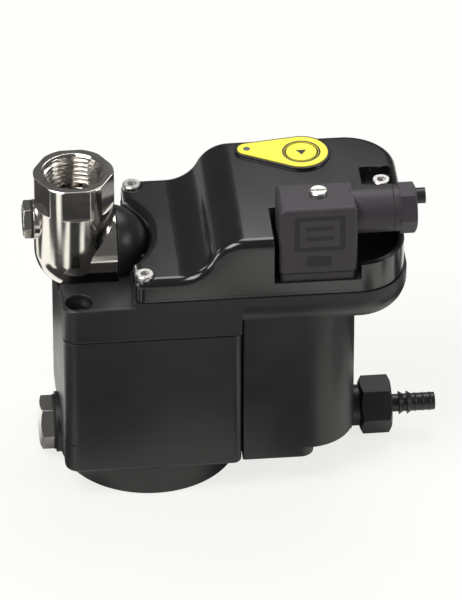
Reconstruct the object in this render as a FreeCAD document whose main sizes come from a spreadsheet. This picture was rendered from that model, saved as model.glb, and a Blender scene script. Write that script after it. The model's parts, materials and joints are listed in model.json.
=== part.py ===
import FreeCAD, Part
import math
import os
from types import SimpleNamespace

import Sketcher
from FreeCAD import Placement, Rotation, Vector

# Automatic condensate drain: a level-controlled diaphragm valve on a small container.
# Origin at the centre of the round base, +Z up, +X towards the outlet. Millimetres.

SIZES = {
    # container: a block with a round bowl under it
    "block_inset": 0.5,
    "bowl_inset": 0.1,
    "block_step": 2.0,
    "half_depth": 33.0,
    "bowl_depth": 11.8,
    "container_top": 68.0,
    "casting_corner": 5.0,
    "block_corner": 3.0,
    "casting_edge": 1.2,
    "foot_edge": 1.0,
    "cavity_radius": 25.5,
    "cavity_floor": 4.0,
    "seal_thickness": 0.6,
    "seal_inset": 0.5,
    # port low on the container
    "port_height": 11.3,
    "port_boss_radius": 11.0,
    "port_boss_proud": 1.5,
    "port_radius": 6.0,
    "lower_plug_across": 17.0,
    "lower_plug_head": 5.0,
    "lower_washer_radius": 10.0,
    "washer_thickness": 0.8,
    # head: slab over everything, column on the right
    "slab_thickness": 15.6,
    "slab_right": 91.5,
    "end_radius": 18.0,
    "overhang_radius": 12.0,
    "column_gap": 0.5,
    "column_corner": 0.8,
    "column_right": 73.3,
    "column_recess": 2.4,
    "column_bottom": 15.7,
    "foot_right": 57.5,
    "foot_bottom": 11.8,
    "outlet_height": 11.2,
    "outlet_boss_radius": 8.4,
    "outlet_boss_root": 5.5,
    "outlet_boss_right": 73.6,
    # neck that carries the elbow
    "branch_rise": 4.0,
    "neck_centre": 14.5,
    "neck_radius": 14.5,
    "neck_face": 11.2,
    "neck_bore_end": 3.4,
    "spigot_end": 5.8,
    "neck_foot_half": 9.0,
    "neck_foot_right": 1.6,
    "spigot_radius": 7.5,
    "inlet_channel_radius": 3.0,
    "inlet_channel_at": 6.6,
    "shelf_right": 7.0,
    "shelf_drop": 2.0,
    "scoop_radius": 16.2,
    # elbow
    "elbow_clearance": 0.4,
    "elbow_radius": 14.4,
    "elbow_rise": 32.0,
    "elbow_dome": 13.0,
    "elbow_branch_radius": 13.7,
    "elbow_hexagon": 27.0,
    "hexagon_height": 12.0,
    "thread_radius": 10.48,
    "thread_depth": 14.0,
    "thread_chamfer": 0.8,
    "elbow_bore": 7.0,
    "branch_bore": 4.6,
    "vent_rise": 12.5,
    "vent_boss_radius": 7.2,
    "vent_boss_proud": 0.3,
    "vent_radius": 4.0,
    "vent_across": 12.0,
    "vent_head": 2.9,
    "clip_radius": 10.6,
    "clip_thickness": 1.0,
    # seals and running fits
    "ring_wire": 0.55,
    "ring_play": 0.05,
    "running_gap": 0.08,
    "screw_edge": 0.4,
    "face_gap": 0.3,
    # cap screws that hold head and container together
    "body_screw_inset": 6.0,
    "body_screw_margin": 5.0,
    "body_screw_radius": 2.5,
    "body_screw_head": 4.25,
    "body_screw_length": 16.0,
    "counterbore_radius": 4.9,
    "counterbore_rest": 3.2,
    "hexagon_socket": 4.0,
    # valve in the column
    "valve_at": 46.0,
    "ledge_radius": 17.2,
    "ledge_depth": 4.2,
    "chamber_radius": 14.0,
    "chamber_depth": 7.0,
    "seat_radius": 6.5,
    "seat_drop": 2.0,
    "outlet_channel": 4.5,
    "cross_channel_radius": 2.8,
    "cross_channel_drop": 7.8,
    "diaphragm_thickness": 1.2,
    "disc_radius": 7.6,
    "disc_thickness": 1.2,
    "disc_stem": 2.0,
    "cap_flange": 2.8,
    "cap_flange_radius": 17.5,
    "cap_cavity_radius": 10.0,
    "cap_roof": 1.5,
    "cap_lug_reach": 23.0,
    "cap_lug_half": 9.0,
    "cap_screw_reach": 20.0,
    "cap_screw_side": 5.5,
    "small_screw_radius": 1.4,
    "small_screw_head": 2.7,
    "small_screw_depth": 7.0,
    # pilot solenoid
    "core_radius": 4.5,
    "core_height": 16.6,
    "core_wall": 1.2,
    "core_stud": 2.5,
    "plunger_length": 8.0,
    "coil_half": 7.8,
    "coil_rise": 1.8,
    "coil_height": 13.4,
    "yoke_thickness": 1.2,
    "coil_nut_across": 8.0,
    "coil_nut_height": 1.7,
    # riser and level probe
    "riser_inset": 7.5,
    "riser_radius": 5.0,
    "riser_wall": 1.5,
    "riser_bottom": 7.0,
    "riser_socket": 4.8,
    "sensor_across": 8.0,
    "sensor_side": 14.0,
    "sensor_radius": 5.0,
    "sensor_bottom": 10.0,
    "sensor_head_radius": 7.0,
    "sensor_head_height": 3.2,
    # cover
    "cover_right": 90.5,
    "cover_wall": 2.2,
    "ear_height": 8.7,
    "dome_height": 23.2,
    "ear_corner": 3.4,
    "slope_left": 9.0,
    "slope_right": 32.0,
    "collar_centre": 29.5,
    "collar_radius": 30.2,
    "cover_fillet": 3.0,
    "bay_margin_left": 1.8,
    "bay_margin_right": 1.3,
    "bay_margin_back": 3.0,
    "bay_depth": 18.0,
    "rim_height": 6.0,
    "recess_length": 11.3,
    "recess_width": 11.5,
    "recess_inset": 2.2,
    "recess_depth": 4.1,
    "recess_corner": 0.8,
    "ear_screw_length_in": 3.8,
    "ear_screw_margin": 4.5,
    "end_screw_margin": 6.0,
    "end_screw_width_in": 27.5,
    "cover_screw_radius": 1.6,
    "cover_screw_head": 3.3,
    "cover_screw_head_height": 2.4,
    "cover_screw_depth": 9.0,
    "spotface_drop": 1.4,
    "pillar_radius": 3.5,
    # label with test button
    "drop_length_in": 33.1,
    "drop_width_in": 11.8,
    "drop_round_radius": 9.5,
    "drop_tip_reach": 19.7,
    "drop_tip_radius": 3.3,
    "drop_rim": 0.9,
    "drop_pad": 1.0,
    "label_thickness": 0.3,
    "button_radius": 5.5,
    "button_ring": 6.1,
    "button_travel": 0.8,
    "button_flange": 6.8,
    "guide_radius": 1.2,
    # board
    "board_margin": 11.0,
    "board_length": 45.5,
    "board_clearance": 3.2,
    "board_inset": 3.4,
    "board_depth": 11.0,
    "board_thickness": 1.6,
    "post_radius": 2.6,
    "post_inset": 3.6,
    "board_screw_radius": 1.2,
    "board_screw_head": 2.1,
    "board_screw_length": 6.0,
    "switch_side": 6.0,
    "switch_height": 3.4,
    "switch_case": 2.7,
    "chip_length": 9.6,
    "capacitor_radius": 2.5,
    "capacitor_height": 5.4,
    "block_length": 5.0,
    "block_height": 4.8,
    "diode_height": 2.4,
    "parts_gap": 3.0,
    # plug-in electrical connector
    "connector_margin": 18.4,
    "connector_length": 27.9,
    "connector_width": 18.0,
    "connector_clearance": 6.8,
    "connector_height": 30.2,
    "connector_base_height": 3.0,
    "connector_seal": 0.8,
    "connector_wall": 2.0,
    "connector_corner": 2.0,
    "connector_screw_length_in": 14.8,
    "connector_screw_depth_in": 10.6,
    "connector_screw_radius": 1.5,
    "connector_screw_head": 3.25,
    "gland_drop": 8.0,
    "gland_radius": 8.2,
    "gland_length": 13.2,
    "gland_thread": 7.0,
    "gland_bore": 5.6,
    "gland_thread_length": 5.0,
    "gland_nut_across": 15.8,
    "gland_nut_collar": 2.2,
    "gland_nut_length": 8.2,
    "cable_radius": 3.6,
    "pin_width": 6.3,
    "pin_thickness": 0.8,
    "pin_length": 11.0,
    "pin_pitch": 18.0,
    # small plug on the cover's end
    "end_plug_side": 3.2,
    "end_plug_drop": 8.2,
    "end_plug_across": 7.0,
    "end_plug_head": 2.6,
    "end_plug_stub": 2.85,
    "end_plug_reach": 9.6,
    "end_plug_grip": 1.3,
    # outlet
    "adaptor_shank": 6.5,
    "adaptor_collar": 7.5,
    "collar_right": 77.0,
    "adaptor_thread": 6.4,
    "adaptor_right": 83.0,
    "outlet_bore": 3.2,
    "union_across": 18.5,
    "union_right": 88.3,
    "union_lip": 2.0,
    "tail_flange": 6.2,
    "tail_neck": 3.25,
    "tail_barb": 4.3,
    "tail_ridge": 3.55,
    "tail_right": 104.6,
    "tail_bore": 2.2,
}

doc = FreeCAD.newDocument("DrainValve")
sheet = doc.addObject("Spreadsheet::Sheet", "Sizes")
for row, (name, number) in enumerate(SIZES.items(), 1):
    sheet.set(f"A{row}", name)
    sheet.set(f"B{row}", str(number))
    sheet.setAlias(f"B{row}", name)
doc.recompute()


class Size:
    """A length: its number now, and the expression that ties it to the sheet."""

    def __init__(self, number, text):
        self.number = float(number)
        self.text = text

    def __add__(self, other):
        other = as_size(other)
        return Size(self.number + other.number, f"({self.text} + {other.text})")

    def __sub__(self, other):
        other = as_size(other)
        return Size(self.number - other.number, f"({self.text} - {other.text})")

    def __mul__(self, other):
        other = as_size(other)
        return Size(self.number * other.number, f"({self.text} * {other.text})")

    def __truediv__(self, other):
        other = as_size(other)
        return Size(self.number / other.number, f"({self.text} / {other.text})")

    def __neg__(self):
        return Size(-self.number, f"(0 - {self.text})")


def as_size(value):
    return value if isinstance(value, Size) else Size(value, f"({value})")


def root(value):
    return Size(math.sqrt(value.number), f"sqrt({value.text})")


size = SimpleNamespace(**{name: Size(number, f"Sizes.{name}") for name, number in SIZES.items()})
ROOT3 = Size(math.sqrt(3), "sqrt(3)")
NOTHING = Size(0, "0")

# Heights that several pieces share
HEAD_BOTTOM = size.container_top + size.seal_thickness
SLAB_TOP = HEAD_BOTTOM + size.slab_thickness
COVER_BOTTOM = SLAB_TOP + size.seal_thickness
EAR_TOP = COVER_BOTTOM + size.ear_height
DOME_TOP = COVER_BOTTOM + size.dome_height
PAD_TOP = DOME_TOP + size.drop_pad
LABEL_TOP = PAD_TOP + size.label_thickness
LEDGE = SLAB_TOP - size.ledge_depth
SEAT_TOP = LEDGE - size.seat_drop
CAP_PLUG_BOTTOM = LEDGE + size.diaphragm_thickness
CAP_TOP = SLAB_TOP + size.cap_flange
ELBOW_AT = size.neck_face + size.elbow_radius + size.elbow_clearance
BRANCH_HEIGHT = SLAB_TOP + size.branch_rise
ELBOW_TOP = BRANCH_HEIGHT + size.elbow_rise
VENT_HEIGHT = BRANCH_HEIGHT + size.vent_rise
CORE_TOP = CAP_TOP + size.core_height
COIL_BOTTOM = CAP_TOP + size.coil_rise
COIL_TOP = COIL_BOTTOM + size.coil_height
BOARD_BOTTOM = DOME_TOP - size.board_depth
BOARD_TOP = BOARD_BOTTOM + size.board_thickness
RECESS_FLOOR = DOME_TOP - size.recess_depth
BAY_FLOOR = DOME_TOP - size.bay_depth
RIM_TOP = BAY_FLOOR + size.rim_height
END_PLUG_HEIGHT = DOME_TOP - size.end_plug_drop

# Places that follow from what carries them
LEFT_FACE = size.half_depth - size.block_inset
BLOCK_RIGHT = size.half_depth - size.block_step
BOWL_RADIUS = LEFT_FACE - size.bowl_inset
PORT_FACE = -LEFT_FACE - size.port_boss_proud
COLUMN_LEFT = BLOCK_RIGHT + size.column_gap
OUTLET_BOSS_LEFT = COLUMN_LEFT + size.outlet_boss_root
COLUMN_HALF = size.half_depth - size.column_recess
RISER_AT = size.cavity_radius - size.riser_inset
EAR_SCREW_SIDE = size.half_depth - size.ear_screw_margin
END_SCREW_AT = size.cover_right - size.end_screw_margin
END_SCREW_SIDE = size.half_depth - size.end_screw_width_in
RECESS_RIGHT = size.cover_right - size.recess_inset
RECESS_LEFT = RECESS_RIGHT - size.recess_length
RECESS_FRONT = END_SCREW_SIDE - size.recess_width / 2
RECESS_BACK = END_SCREW_SIDE + size.recess_width / 2
DROP_AT = size.cover_right - size.drop_length_in
DROP_SIDE = size.half_depth - size.drop_width_in
COUNTERBORE_FLOOR = HEAD_BOTTOM + size.counterbore_rest
CROSS_HEIGHT = SLAB_TOP - size.cross_channel_drop
CONNECTOR_RIGHT = size.cover_right - size.connector_margin
CONNECTOR_LEFT = CONNECTOR_RIGHT - size.connector_length
CONNECTOR_BACK = size.coil_half + size.connector_clearance
CONNECTOR_FRONT = CONNECTOR_BACK + size.connector_width
CONNECTOR_TOP = BAY_FLOOR + size.connector_height
CONNECTOR_SCREW_AT = CONNECTOR_LEFT + size.connector_screw_length_in
CONNECTOR_SCREW_SIDE = CONNECTOR_FRONT - size.connector_screw_depth_in
GLAND_HEIGHT = CONNECTOR_TOP - size.gland_drop
GLAND_RIGHT = CONNECTOR_RIGHT + size.gland_length
BAY_LEFT = CONNECTOR_LEFT - size.bay_margin_left
BAY_RIGHT = CONNECTOR_RIGHT + size.bay_margin_right
BAY_BACK = CONNECTOR_BACK - size.bay_margin_back
BASE_TOP = BAY_FLOOR + size.connector_base_height
HOUSING_BOTTOM = BASE_TOP + size.connector_seal
CONNECTOR_MIDDLE = (CONNECTOR_LEFT + CONNECTOR_RIGHT) / 2
CONNECTOR_AXIS = (CONNECTOR_FRONT + CONNECTOR_BACK) / 2
PILLAR_TOP = RECESS_FLOOR - size.cover_wall - size.face_gap
SHANK_LENGTH = size.adaptor_shank * 1.5

# Ways to lay a turned piece: its own axis is +Z before it is placed
UPRIGHT = Rotation()
ALONG_X = Rotation(Vector(0, 1, 0), 90)
AGAINST_X = Rotation(Vector(0, 1, 0), -90)
DROP_TURN = -10.5
BUTTON_SPRING_RADIUS = size.switch_side * 0.85
TURN = (math.cos(math.radians(DROP_TURN)), math.sin(math.radians(DROP_TURN)))
TIP = (DROP_AT - size.drop_tip_reach * TURN[0],
       DROP_SIDE - size.drop_tip_reach * TURN[1])
BOARD_LEFT = TIP[0] - size.board_margin
BOARD_RIGHT = BOARD_LEFT + size.board_length
BOARD_FRONT = size.coil_half + size.board_clearance
BOARD_BACK = size.half_depth - size.board_inset

BODY_SCREWS = [
    (x, y)
    for x in (size.body_screw_inset - LEFT_FACE, BLOCK_RIGHT - size.body_screw_margin)
    for y in (size.body_screw_inset - size.half_depth, size.half_depth - size.body_screw_inset)
]
CAP_SCREWS = [
    (size.valve_at + x, y)
    for x in (-size.cap_screw_reach, size.cap_screw_reach)
    for y in (-size.cap_screw_side, size.cap_screw_side)
]
EAR_SCREWS = [(size.ear_screw_length_in - size.shelf_right, EAR_SCREW_SIDE * side) for side in (-1, 1)]
BOARD_POSTS = [
    (BOARD_LEFT + size.post_inset, BOARD_BACK - size.post_inset),
    (BOARD_RIGHT - size.post_inset, BOARD_BACK - size.post_inset),
    (BOARD_RIGHT - size.post_inset, BOARD_FRONT + size.post_inset),
]


# Bodies, sketches and features

def new_body(label):
    body = doc.addObject("PartDesign::Body", label)
    body.Label = label
    return body


def hold(item, name, value):
    """Set a property and bind it to the sheet."""
    value = as_size(value)
    setattr(item, name, value.number)
    item.setExpression(name, value.text)


def place(item, x=NOTHING, y=NOTHING, z=NOTHING, turn=UPRIGHT):
    values = [as_size(value) for value in (x, y, z)]
    item.Placement = Placement(Vector(*[value.number for value in values]), turn)
    for axis, value in zip("xyz", values):
        item.setExpression(f"Placement.Base.{axis}", value.text)


def sketch(body, name, role, offset=NOTHING, lift=NOTHING, slide=NOTHING, angle=0):
    """A sketch on an origin plane, moved along its normal (offset) and within it (slide, lift)."""
    item = body.newObject("Sketcher::SketchObject", name)
    face = next(feature for feature in body.Origin.OriginFeatures if feature.Role == role)
    item.AttachmentSupport = (face, [""])
    item.MapMode = "FlatFace"
    values = [as_size(value) for value in (slide, lift, offset)]
    base = Vector(*[value.number for value in values])
    item.AttachmentOffset = Placement(base, Rotation(Vector(0, 0, 1), angle))
    for axis, value in zip("xyz", values):
        item.setExpression(f"AttachmentOffset.Base.{axis}", value.text)
    return item


def bind_point(constraints, texts, geometry, point, x, y):
    for kind, value, axis in (("DistanceX", x, -2), ("DistanceY", y, -1)):
        if value.number == 0:
            constraints.append(Sketcher.Constraint("PointOnObject", geometry, point, axis))
            texts.append(None)
        else:
            constraints.append(Sketcher.Constraint(kind, -1, 1, geometry, point, value.number))
            texts.append(value.text)


def add_constraints(item, constraints, texts):
    numbers = item.addConstraint(constraints)
    for number, text in zip(numbers, texts):
        if text is not None:
            item.setExpression(f"Constraints[{number}]", text)


def arc_between(start, end, bend):
    """The short arc from start to end; it turns left where bend is positive."""
    chord = end - start
    reach = math.sqrt(max(bend * bend - chord.Length ** 2 / 4, 0.0))
    side = Vector(-chord.y, chord.x, 0) / chord.Length
    centre = (start + end) / 2 + side * math.copysign(reach, bend)
    first, last = (start, end) if bend > 0 else (end, start)
    angles = [math.atan2(point.y - centre.y, point.x - centre.x) for point in (first, last)]
    return Part.ArcOfCircle(Part.Circle(centre, Vector(0, 0, 1), abs(bend)), *angles)


def draw(item, path):
    """Close a path of lines and arcs, each corner and radius bound to the sheet.

    A node is (x, y), or (x, y, bend) where an arc of radius bend leads to it.
    """
    nodes = [tuple(as_size(value) for value in node) for node in path]
    points = [Vector(node[0].number, node[1].number, 0) for node in nodes]
    start_number = item.GeometryCount
    geometry = []
    ends = []
    for index, node in enumerate(nodes):
        before, here = points[index - 1], points[index]
        if len(node) == 3:
            geometry.append(arc_between(before, here, node[2].number))
            ends.append((1, 2) if node[2].number > 0 else (2, 1))
        else:
            geometry.append(Part.LineSegment(before, here))
            ends.append((1, 2))
    item.addGeometry(geometry)
    constraints = []
    texts = []
    for index, node in enumerate(nodes):
        following = (index + 1) % len(nodes)
        here = start_number + index
        joint = (here, ends[index][1], start_number + following, ends[following][0])
        constraints.append(Sketcher.Constraint("Coincident", *joint))
        texts.append(None)
        bind_point(constraints, texts, here, ends[index][1], node[0], node[1])
        if len(node) == 3:
            constraints.append(Sketcher.Constraint("Radius", here, abs(node[2].number)))
            texts.append(f"abs({node[2].text})")
    add_constraints(item, constraints, texts)


def circle(item, x, y, radius):
    x, y, radius = as_size(x), as_size(y), as_size(radius)
    number = item.GeometryCount
    item.addGeometry(Part.Circle(Vector(x.number, y.number, 0), Vector(0, 0, 1), radius.number))
    constraints = [Sketcher.Constraint("Radius", number, radius.number)]
    texts = [radius.text]
    bind_point(constraints, texts, number, 3, x, y)
    add_constraints(item, constraints, texts)


def extrude(kind, body, item, length, backwards=False, symmetric=False):
    feature = body.newObject(kind, item.Name + "_run")
    feature.Profile = item
    feature.Reversed = backwards
    if symmetric:
        feature.SideType = "Symmetric"
    hold(feature, "Length", length)
    return feature


def pad(body, item, length, **options):
    return extrude("PartDesign::Pad", body, item, length, **options)


def pocket(body, item, length, **options):
    return extrude("PartDesign::Pocket", body, item, length, **options)


def spin(kind, body, item, axis="V_Axis"):
    feature = body.newObject(kind, item.Name + "_turn")
    feature.Profile = item
    feature.ReferenceAxis = (item, [axis])
    feature.Angle = 360
    return feature


def turned(label, path, x=NOTHING, y=NOTHING, z=NOTHING, turn=UPRIGHT):
    """A turned piece; its path holds (radius, height) nodes round its own +Z axis."""
    body = new_body(label)
    profile = sketch(body, label + "_profile", "XZ_Plane")
    draw(profile, path)
    spin("PartDesign::Revolution", body, profile)
    place(body, x, y, z, turn)
    return body


def ring_path(inner, outer, low, high):
    return [(inner, low), (outer, low), (outer, high), (inner, high)]


def box_path(x0, x1, y0, y1):
    return [(x0, y0), (x1, y0), (x1, y1), (x0, y1)]


def soft_box_path(x0, x1, y0, y1, left, right):
    """A rectangle with rounded corners, of one radius on the left and one on the right."""
    return [
        (x0 + left, y0, left),
        (x1 - right, y0),
        (x1, y0 + right, right),
        (x1, y1 - right),
        (x1 - right, y1, right),
        (x0 + left, y1),
        (x0, y1 - left, left),
        (x0, y0 + left),
    ]


def hexagon_path(across, swap=False):
    """A hexagon with flats facing the sketch's vertical axis, or its horizontal one if swapped."""
    corner = across / ROOT3
    half = across / 2
    nodes = [(corner, NOTHING), (corner / 2, half), (-corner / 2, half)]
    nodes += [(-x, -y) for x, y in nodes]
    return [(y, x) for x, y in nodes] if swap else nodes


def chamfer_hexagon(body, name, across, top, up=True):
    """Turn the corners of a hexagon's end down to a circle just inside its flats."""
    profile = sketch(body, name, "XZ_Plane")
    inner = across * 0.475
    outer = across * 0.62
    drop = (outer - inner) / 2
    draw(profile, [(inner, top), (outer, top), (outer, top - drop if up else top + drop)])
    spin("PartDesign::Groove", body, profile)


def fillet(body, name, radius, choose):
    doc.recompute()
    base = body.Tip
    edges = [f"Edge{number}" for number, edge in enumerate(base.Shape.Edges, 1) if choose(edge)]
    feature = body.newObject("PartDesign::Fillet", name)
    feature.Base = (base, edges)
    hold(feature, "Radius", radius)
    return feature


def near(value, size_or_number):
    return abs(value - as_size(size_or_number).number) < 0.01


def flat_at(edge, height):
    """The edge lies in the level plane at this height."""
    box = edge.BoundBox
    return near(box.ZMin, height) and near(box.ZMax, height)


def group(label, pieces):
    item = doc.addObject("Part::Compound", label)
    item.Label = label
    item.Links = pieces
    return item


def cap_screw_path(shank, length, head, head_height, socket):
    """Outline of a screw whose head stands on z = 0, and the size of its drive."""
    edge = size.screw_edge
    return [
        (NOTHING, -length),
        (shank - edge, -length),
        (shank, edge - length),
        (shank, NOTHING),
        (head, NOTHING),
        (head, head_height - edge),
        (head - edge, head_height),
        (NOTHING, head_height),
    ], socket


def screws(label, places, rest, shank, length, head, head_height, socket):
    """Like screws in one node, each with a hexagon socket in its head."""
    pieces = []
    for number, (x, y) in enumerate(places, 1):
        path, drive = cap_screw_path(shank, length, head, head_height, socket)
        body = turned(f"{label}_{number}", path, x, y, rest)
        hole = sketch(body, f"{label}_socket_{number}", "XY_Plane", head_height)
        draw(hole, hexagon_path(drive))
        pocket(body, hole, head_height * 0.55)
        pieces.append(body)
    return group(label, pieces)


def o_ring(label, groove_radius, x, y, z, turn=UPRIGHT):
    """A ring that lies in a groove with a little play all round."""
    ring = doc.addObject("Part::Torus", label)
    ring.Label = label
    hold(ring, "Radius1", groove_radius + size.ring_wire + size.ring_play)
    hold(ring, "Radius2", size.ring_wire)
    place(ring, x, y, z, turn)
    return ring


def groove_radius(shank):
    """A ring of this groove clears the bore that the shank runs in."""
    return shank - size.ring_wire * 2 - size.ring_play


def ring_groove(shank, middle):
    """Nodes that take a shaft's outline down into a ring's groove and out again."""
    half = size.ring_wire + size.ring_play * 3
    floor = groove_radius(shank)
    return [(shank, middle - half), (floor, middle - half), (floor, middle + half), (shank, middle + half)]


def coil_spring(label, radius, wire, pitch, length, x, y, z):
    """Spring of eight-sided wire, whose faces mesh truly where those of round wire do not."""
    path = doc.addObject("Part::Helix", label + "_path")
    hold(path, "Radius", radius)
    hold(path, "Pitch", pitch)
    hold(path, "Height", length)
    section = doc.addObject("Part::RegularPolygon", label + "_wire")
    section.Polygon = 8
    hold(section, "Circumradius", wire)
    place(section, radius, NOTHING, NOTHING, Rotation(Vector(1, 0, 0), 90))
    doc.recompute()
    spring = doc.addObject("Part::Sweep", label)
    spring.Label = label
    spring.Sections = [section]
    spring.Spine = (path, [f"Edge{number}" for number in range(1, len(path.Shape.Edges) + 1)])
    spring.Solid = True
    spring.Frenet = True
    place(spring, x, y, z)
    return spring


# Container and its lower port

def make_container():
    body = new_body("container")
    plan = sketch(body, "container_plan", "XY_Plane", size.bowl_depth)
    draw(plan, soft_box_path(-LEFT_FACE, BLOCK_RIGHT, -size.half_depth, size.half_depth,
                             size.casting_corner, size.block_corner))
    pad(body, plan, size.container_top - size.bowl_depth)
    fillet(body, "container_under", size.casting_edge, lambda edge: flat_at(edge, size.bowl_depth))
    bowl = sketch(body, "container_bowl", "XY_Plane")
    circle(bowl, 0, 0, BOWL_RADIUS)
    pad(body, bowl, size.bowl_depth)
    fillet(body, "container_foot", size.foot_edge, lambda edge: flat_at(edge, 0))
    boss = sketch(body, "container_boss", "YZ_Plane", PORT_FACE)
    circle(boss, 0, size.port_height, size.port_boss_radius)
    pad(body, boss, BOWL_RADIUS - size.cavity_radius + size.port_boss_proud)
    cavity = sketch(body, "container_cavity", "XY_Plane", size.container_top)
    circle(cavity, 0, 0, size.cavity_radius)
    pocket(body, cavity, size.container_top - size.cavity_floor)
    port = sketch(body, "container_port", "YZ_Plane", PORT_FACE)
    circle(port, 0, size.port_height, size.port_radius)
    pocket(body, port, LEFT_FACE - size.cavity_radius + size.port_boss_proud * 2, backwards=True)
    holes = sketch(body, "container_screw_holes", "XY_Plane", size.container_top)
    for x, y in BODY_SCREWS:
        circle(holes, x, y, size.body_screw_radius + size.running_gap)
    pocket(body, holes, size.body_screw_length)


def make_container_gasket():
    body = new_body("container_gasket")
    plan = sketch(body, "container_gasket_plan", "XY_Plane", size.container_top)
    inset = size.seal_inset
    draw(plan, soft_box_path(inset - LEFT_FACE, BLOCK_RIGHT - inset,
                             inset - size.half_depth, size.half_depth - inset,
                             size.casting_corner - inset, size.block_corner - inset))
    circle(plan, 0, 0, size.cavity_radius)
    for x, y in BODY_SCREWS:
        circle(plan, x, y, size.body_screw_radius + size.face_gap)
    pad(body, plan, size.seal_thickness)


def hexagon_plug(label, across, head, shank, depth, washer, x, y, z, turn, swap):
    """Plug whose washer lies from 0 to washer and whose hexagon follows it."""
    body = new_body(label)
    plan = sketch(body, label + "_hexagon", "XY_Plane", washer)
    draw(plan, hexagon_path(across, swap))
    pad(body, plan, head)
    chamfer_hexagon(body, label + "_edge", across, washer + head)
    stem = sketch(body, label + "_stem", "XY_Plane", washer)
    circle(stem, 0, 0, shank)
    pad(body, stem, washer + depth, backwards=True)
    place(body, x, y, z, turn)


def make_lower_plug():
    shank = size.port_radius - size.running_gap
    depth = LEFT_FACE - size.cavity_radius
    spot = (PORT_FACE, NOTHING, size.port_height, AGAINST_X)
    hexagon_plug("lower_plug", size.lower_plug_across, size.lower_plug_head, shank, depth,
                 size.washer_thickness, *spot, True)
    turned("lower_plug_washer", ring_path(size.port_radius, size.lower_washer_radius,
                                          NOTHING, size.washer_thickness), *spot)


# Head: slab, column, neck

def make_head():
    body = new_body("head")
    over = sketch(body, "head_overhang", "XY_Plane", HEAD_BOTTOM)
    draw(over, [
        (BLOCK_RIGHT, -size.half_depth),
        (size.slab_right - size.end_radius, -size.half_depth),
        (size.slab_right, size.end_radius - size.half_depth, size.end_radius),
        (size.slab_right, size.half_depth - size.end_radius),
        (size.slab_right - size.end_radius, size.half_depth, size.end_radius),
        (BLOCK_RIGHT, size.half_depth),
    ])
    pad(body, over, size.slab_thickness)
    fillet(body, "head_underside", size.overhang_radius,
           lambda edge: flat_at(edge, HEAD_BOTTOM) and not near(edge.BoundBox.XMax, BLOCK_RIGHT))
    left = sketch(body, "head_slab", "XY_Plane", HEAD_BOTTOM)
    corner = size.casting_corner
    draw(left, [
        (corner - LEFT_FACE, -size.half_depth, corner),
        (BLOCK_RIGHT, -size.half_depth),
        (BLOCK_RIGHT, size.half_depth),
        (corner - LEFT_FACE, size.half_depth),
        (-LEFT_FACE, size.half_depth - corner, corner),
        (-LEFT_FACE, corner - size.half_depth),
    ])
    pad(body, left, size.slab_thickness)
    column = sketch(body, "head_column", "XY_Plane", size.column_bottom)
    draw(column, soft_box_path(COLUMN_LEFT, size.column_right, -COLUMN_HALF, COLUMN_HALF,
                               size.column_corner, size.end_radius))
    pad(body, column, HEAD_BOTTOM + size.overhang_radius - size.column_bottom)
    foot = sketch(body, "head_foot", "XY_Plane", size.foot_bottom)
    draw(foot, soft_box_path(COLUMN_LEFT, size.foot_right, -COLUMN_HALF, COLUMN_HALF,
                             size.column_corner, size.casting_corner))
    pad(body, foot, size.column_bottom - size.foot_bottom)
    boss = sketch(body, "head_outlet_boss", "YZ_Plane", OUTLET_BOSS_LEFT)
    circle(boss, 0, size.outlet_height, size.outlet_boss_radius)
    pad(body, boss, size.outlet_boss_right - OUTLET_BOSS_LEFT)
    cut_shelf(body)
    add_neck(body)
    cut_valve(body)
    cut_head_holes(body)


def shelf_rim(edge):
    """Outer edges of the lowered part of the slab."""
    box = edge.BoundBox
    outer = near(box.YMax, -size.half_depth) or near(box.YMin, size.half_depth) \
        or near(box.XMin, -LEFT_FACE)
    return outer and flat_at(edge, SLAB_TOP - size.shelf_drop)


def cut_shelf(body):
    """Lower the slab beside the cover and scoop it out under the elbow."""
    shelf = sketch(body, "head_shelf", "XY_Plane", SLAB_TOP)
    draw(shelf, box_path(-LEFT_FACE * 1.1, -size.shelf_right, -size.half_depth * 1.1,
                         size.half_depth * 1.1))
    pocket(body, shelf, size.shelf_drop)
    fillet(body, "head_shelf_edge", size.casting_edge, shelf_rim)
    scoop = sketch(body, "head_scoop", "YZ_Plane", -size.neck_face)
    circle(scoop, 0, BRANCH_HEIGHT, size.scoop_radius)
    pocket(body, scoop, LEFT_FACE)


def add_neck(body):
    foot = sketch(body, "neck_foot", "XY_Plane", SLAB_TOP - size.shelf_drop * 2)
    draw(foot, box_path(-size.neck_face, -size.neck_foot_right, -size.neck_foot_half,
                        size.neck_foot_half))
    pad(body, foot, BRANCH_HEIGHT - SLAB_TOP + size.shelf_drop * 2)
    dome = sketch(body, "neck_dome", "XZ_Plane", lift=BRANCH_HEIGHT)
    rim = root(size.neck_radius * size.neck_radius
               - (size.neck_centre - size.neck_face) * (size.neck_centre - size.neck_face))
    draw(dome, [
        (-size.neck_face, NOTHING),
        (size.neck_radius - size.neck_centre, NOTHING),
        (-size.neck_face, rim, size.neck_radius),
    ])
    spin("PartDesign::Revolution", body, dome, "H_Axis")
    bore = sketch(body, "neck_bore", "YZ_Plane", -size.neck_face)
    circle(bore, 0, BRANCH_HEIGHT, size.spigot_radius + size.running_gap)
    pocket(body, bore, size.neck_face - size.neck_bore_end, backwards=True)
    seat = sketch(body, "neck_clip_seat", "YZ_Plane", -size.neck_face)
    circle(seat, 0, BRANCH_HEIGHT, size.clip_radius + size.running_gap)
    pocket(body, seat, size.clip_thickness + size.ring_play, backwards=True)
    channel = sketch(body, "neck_channel", "XY_Plane", BRANCH_HEIGHT)
    circle(channel, -size.inlet_channel_at, 0, size.inlet_channel_radius)
    pocket(body, channel, BRANCH_HEIGHT - HEAD_BOTTOM)


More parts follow.
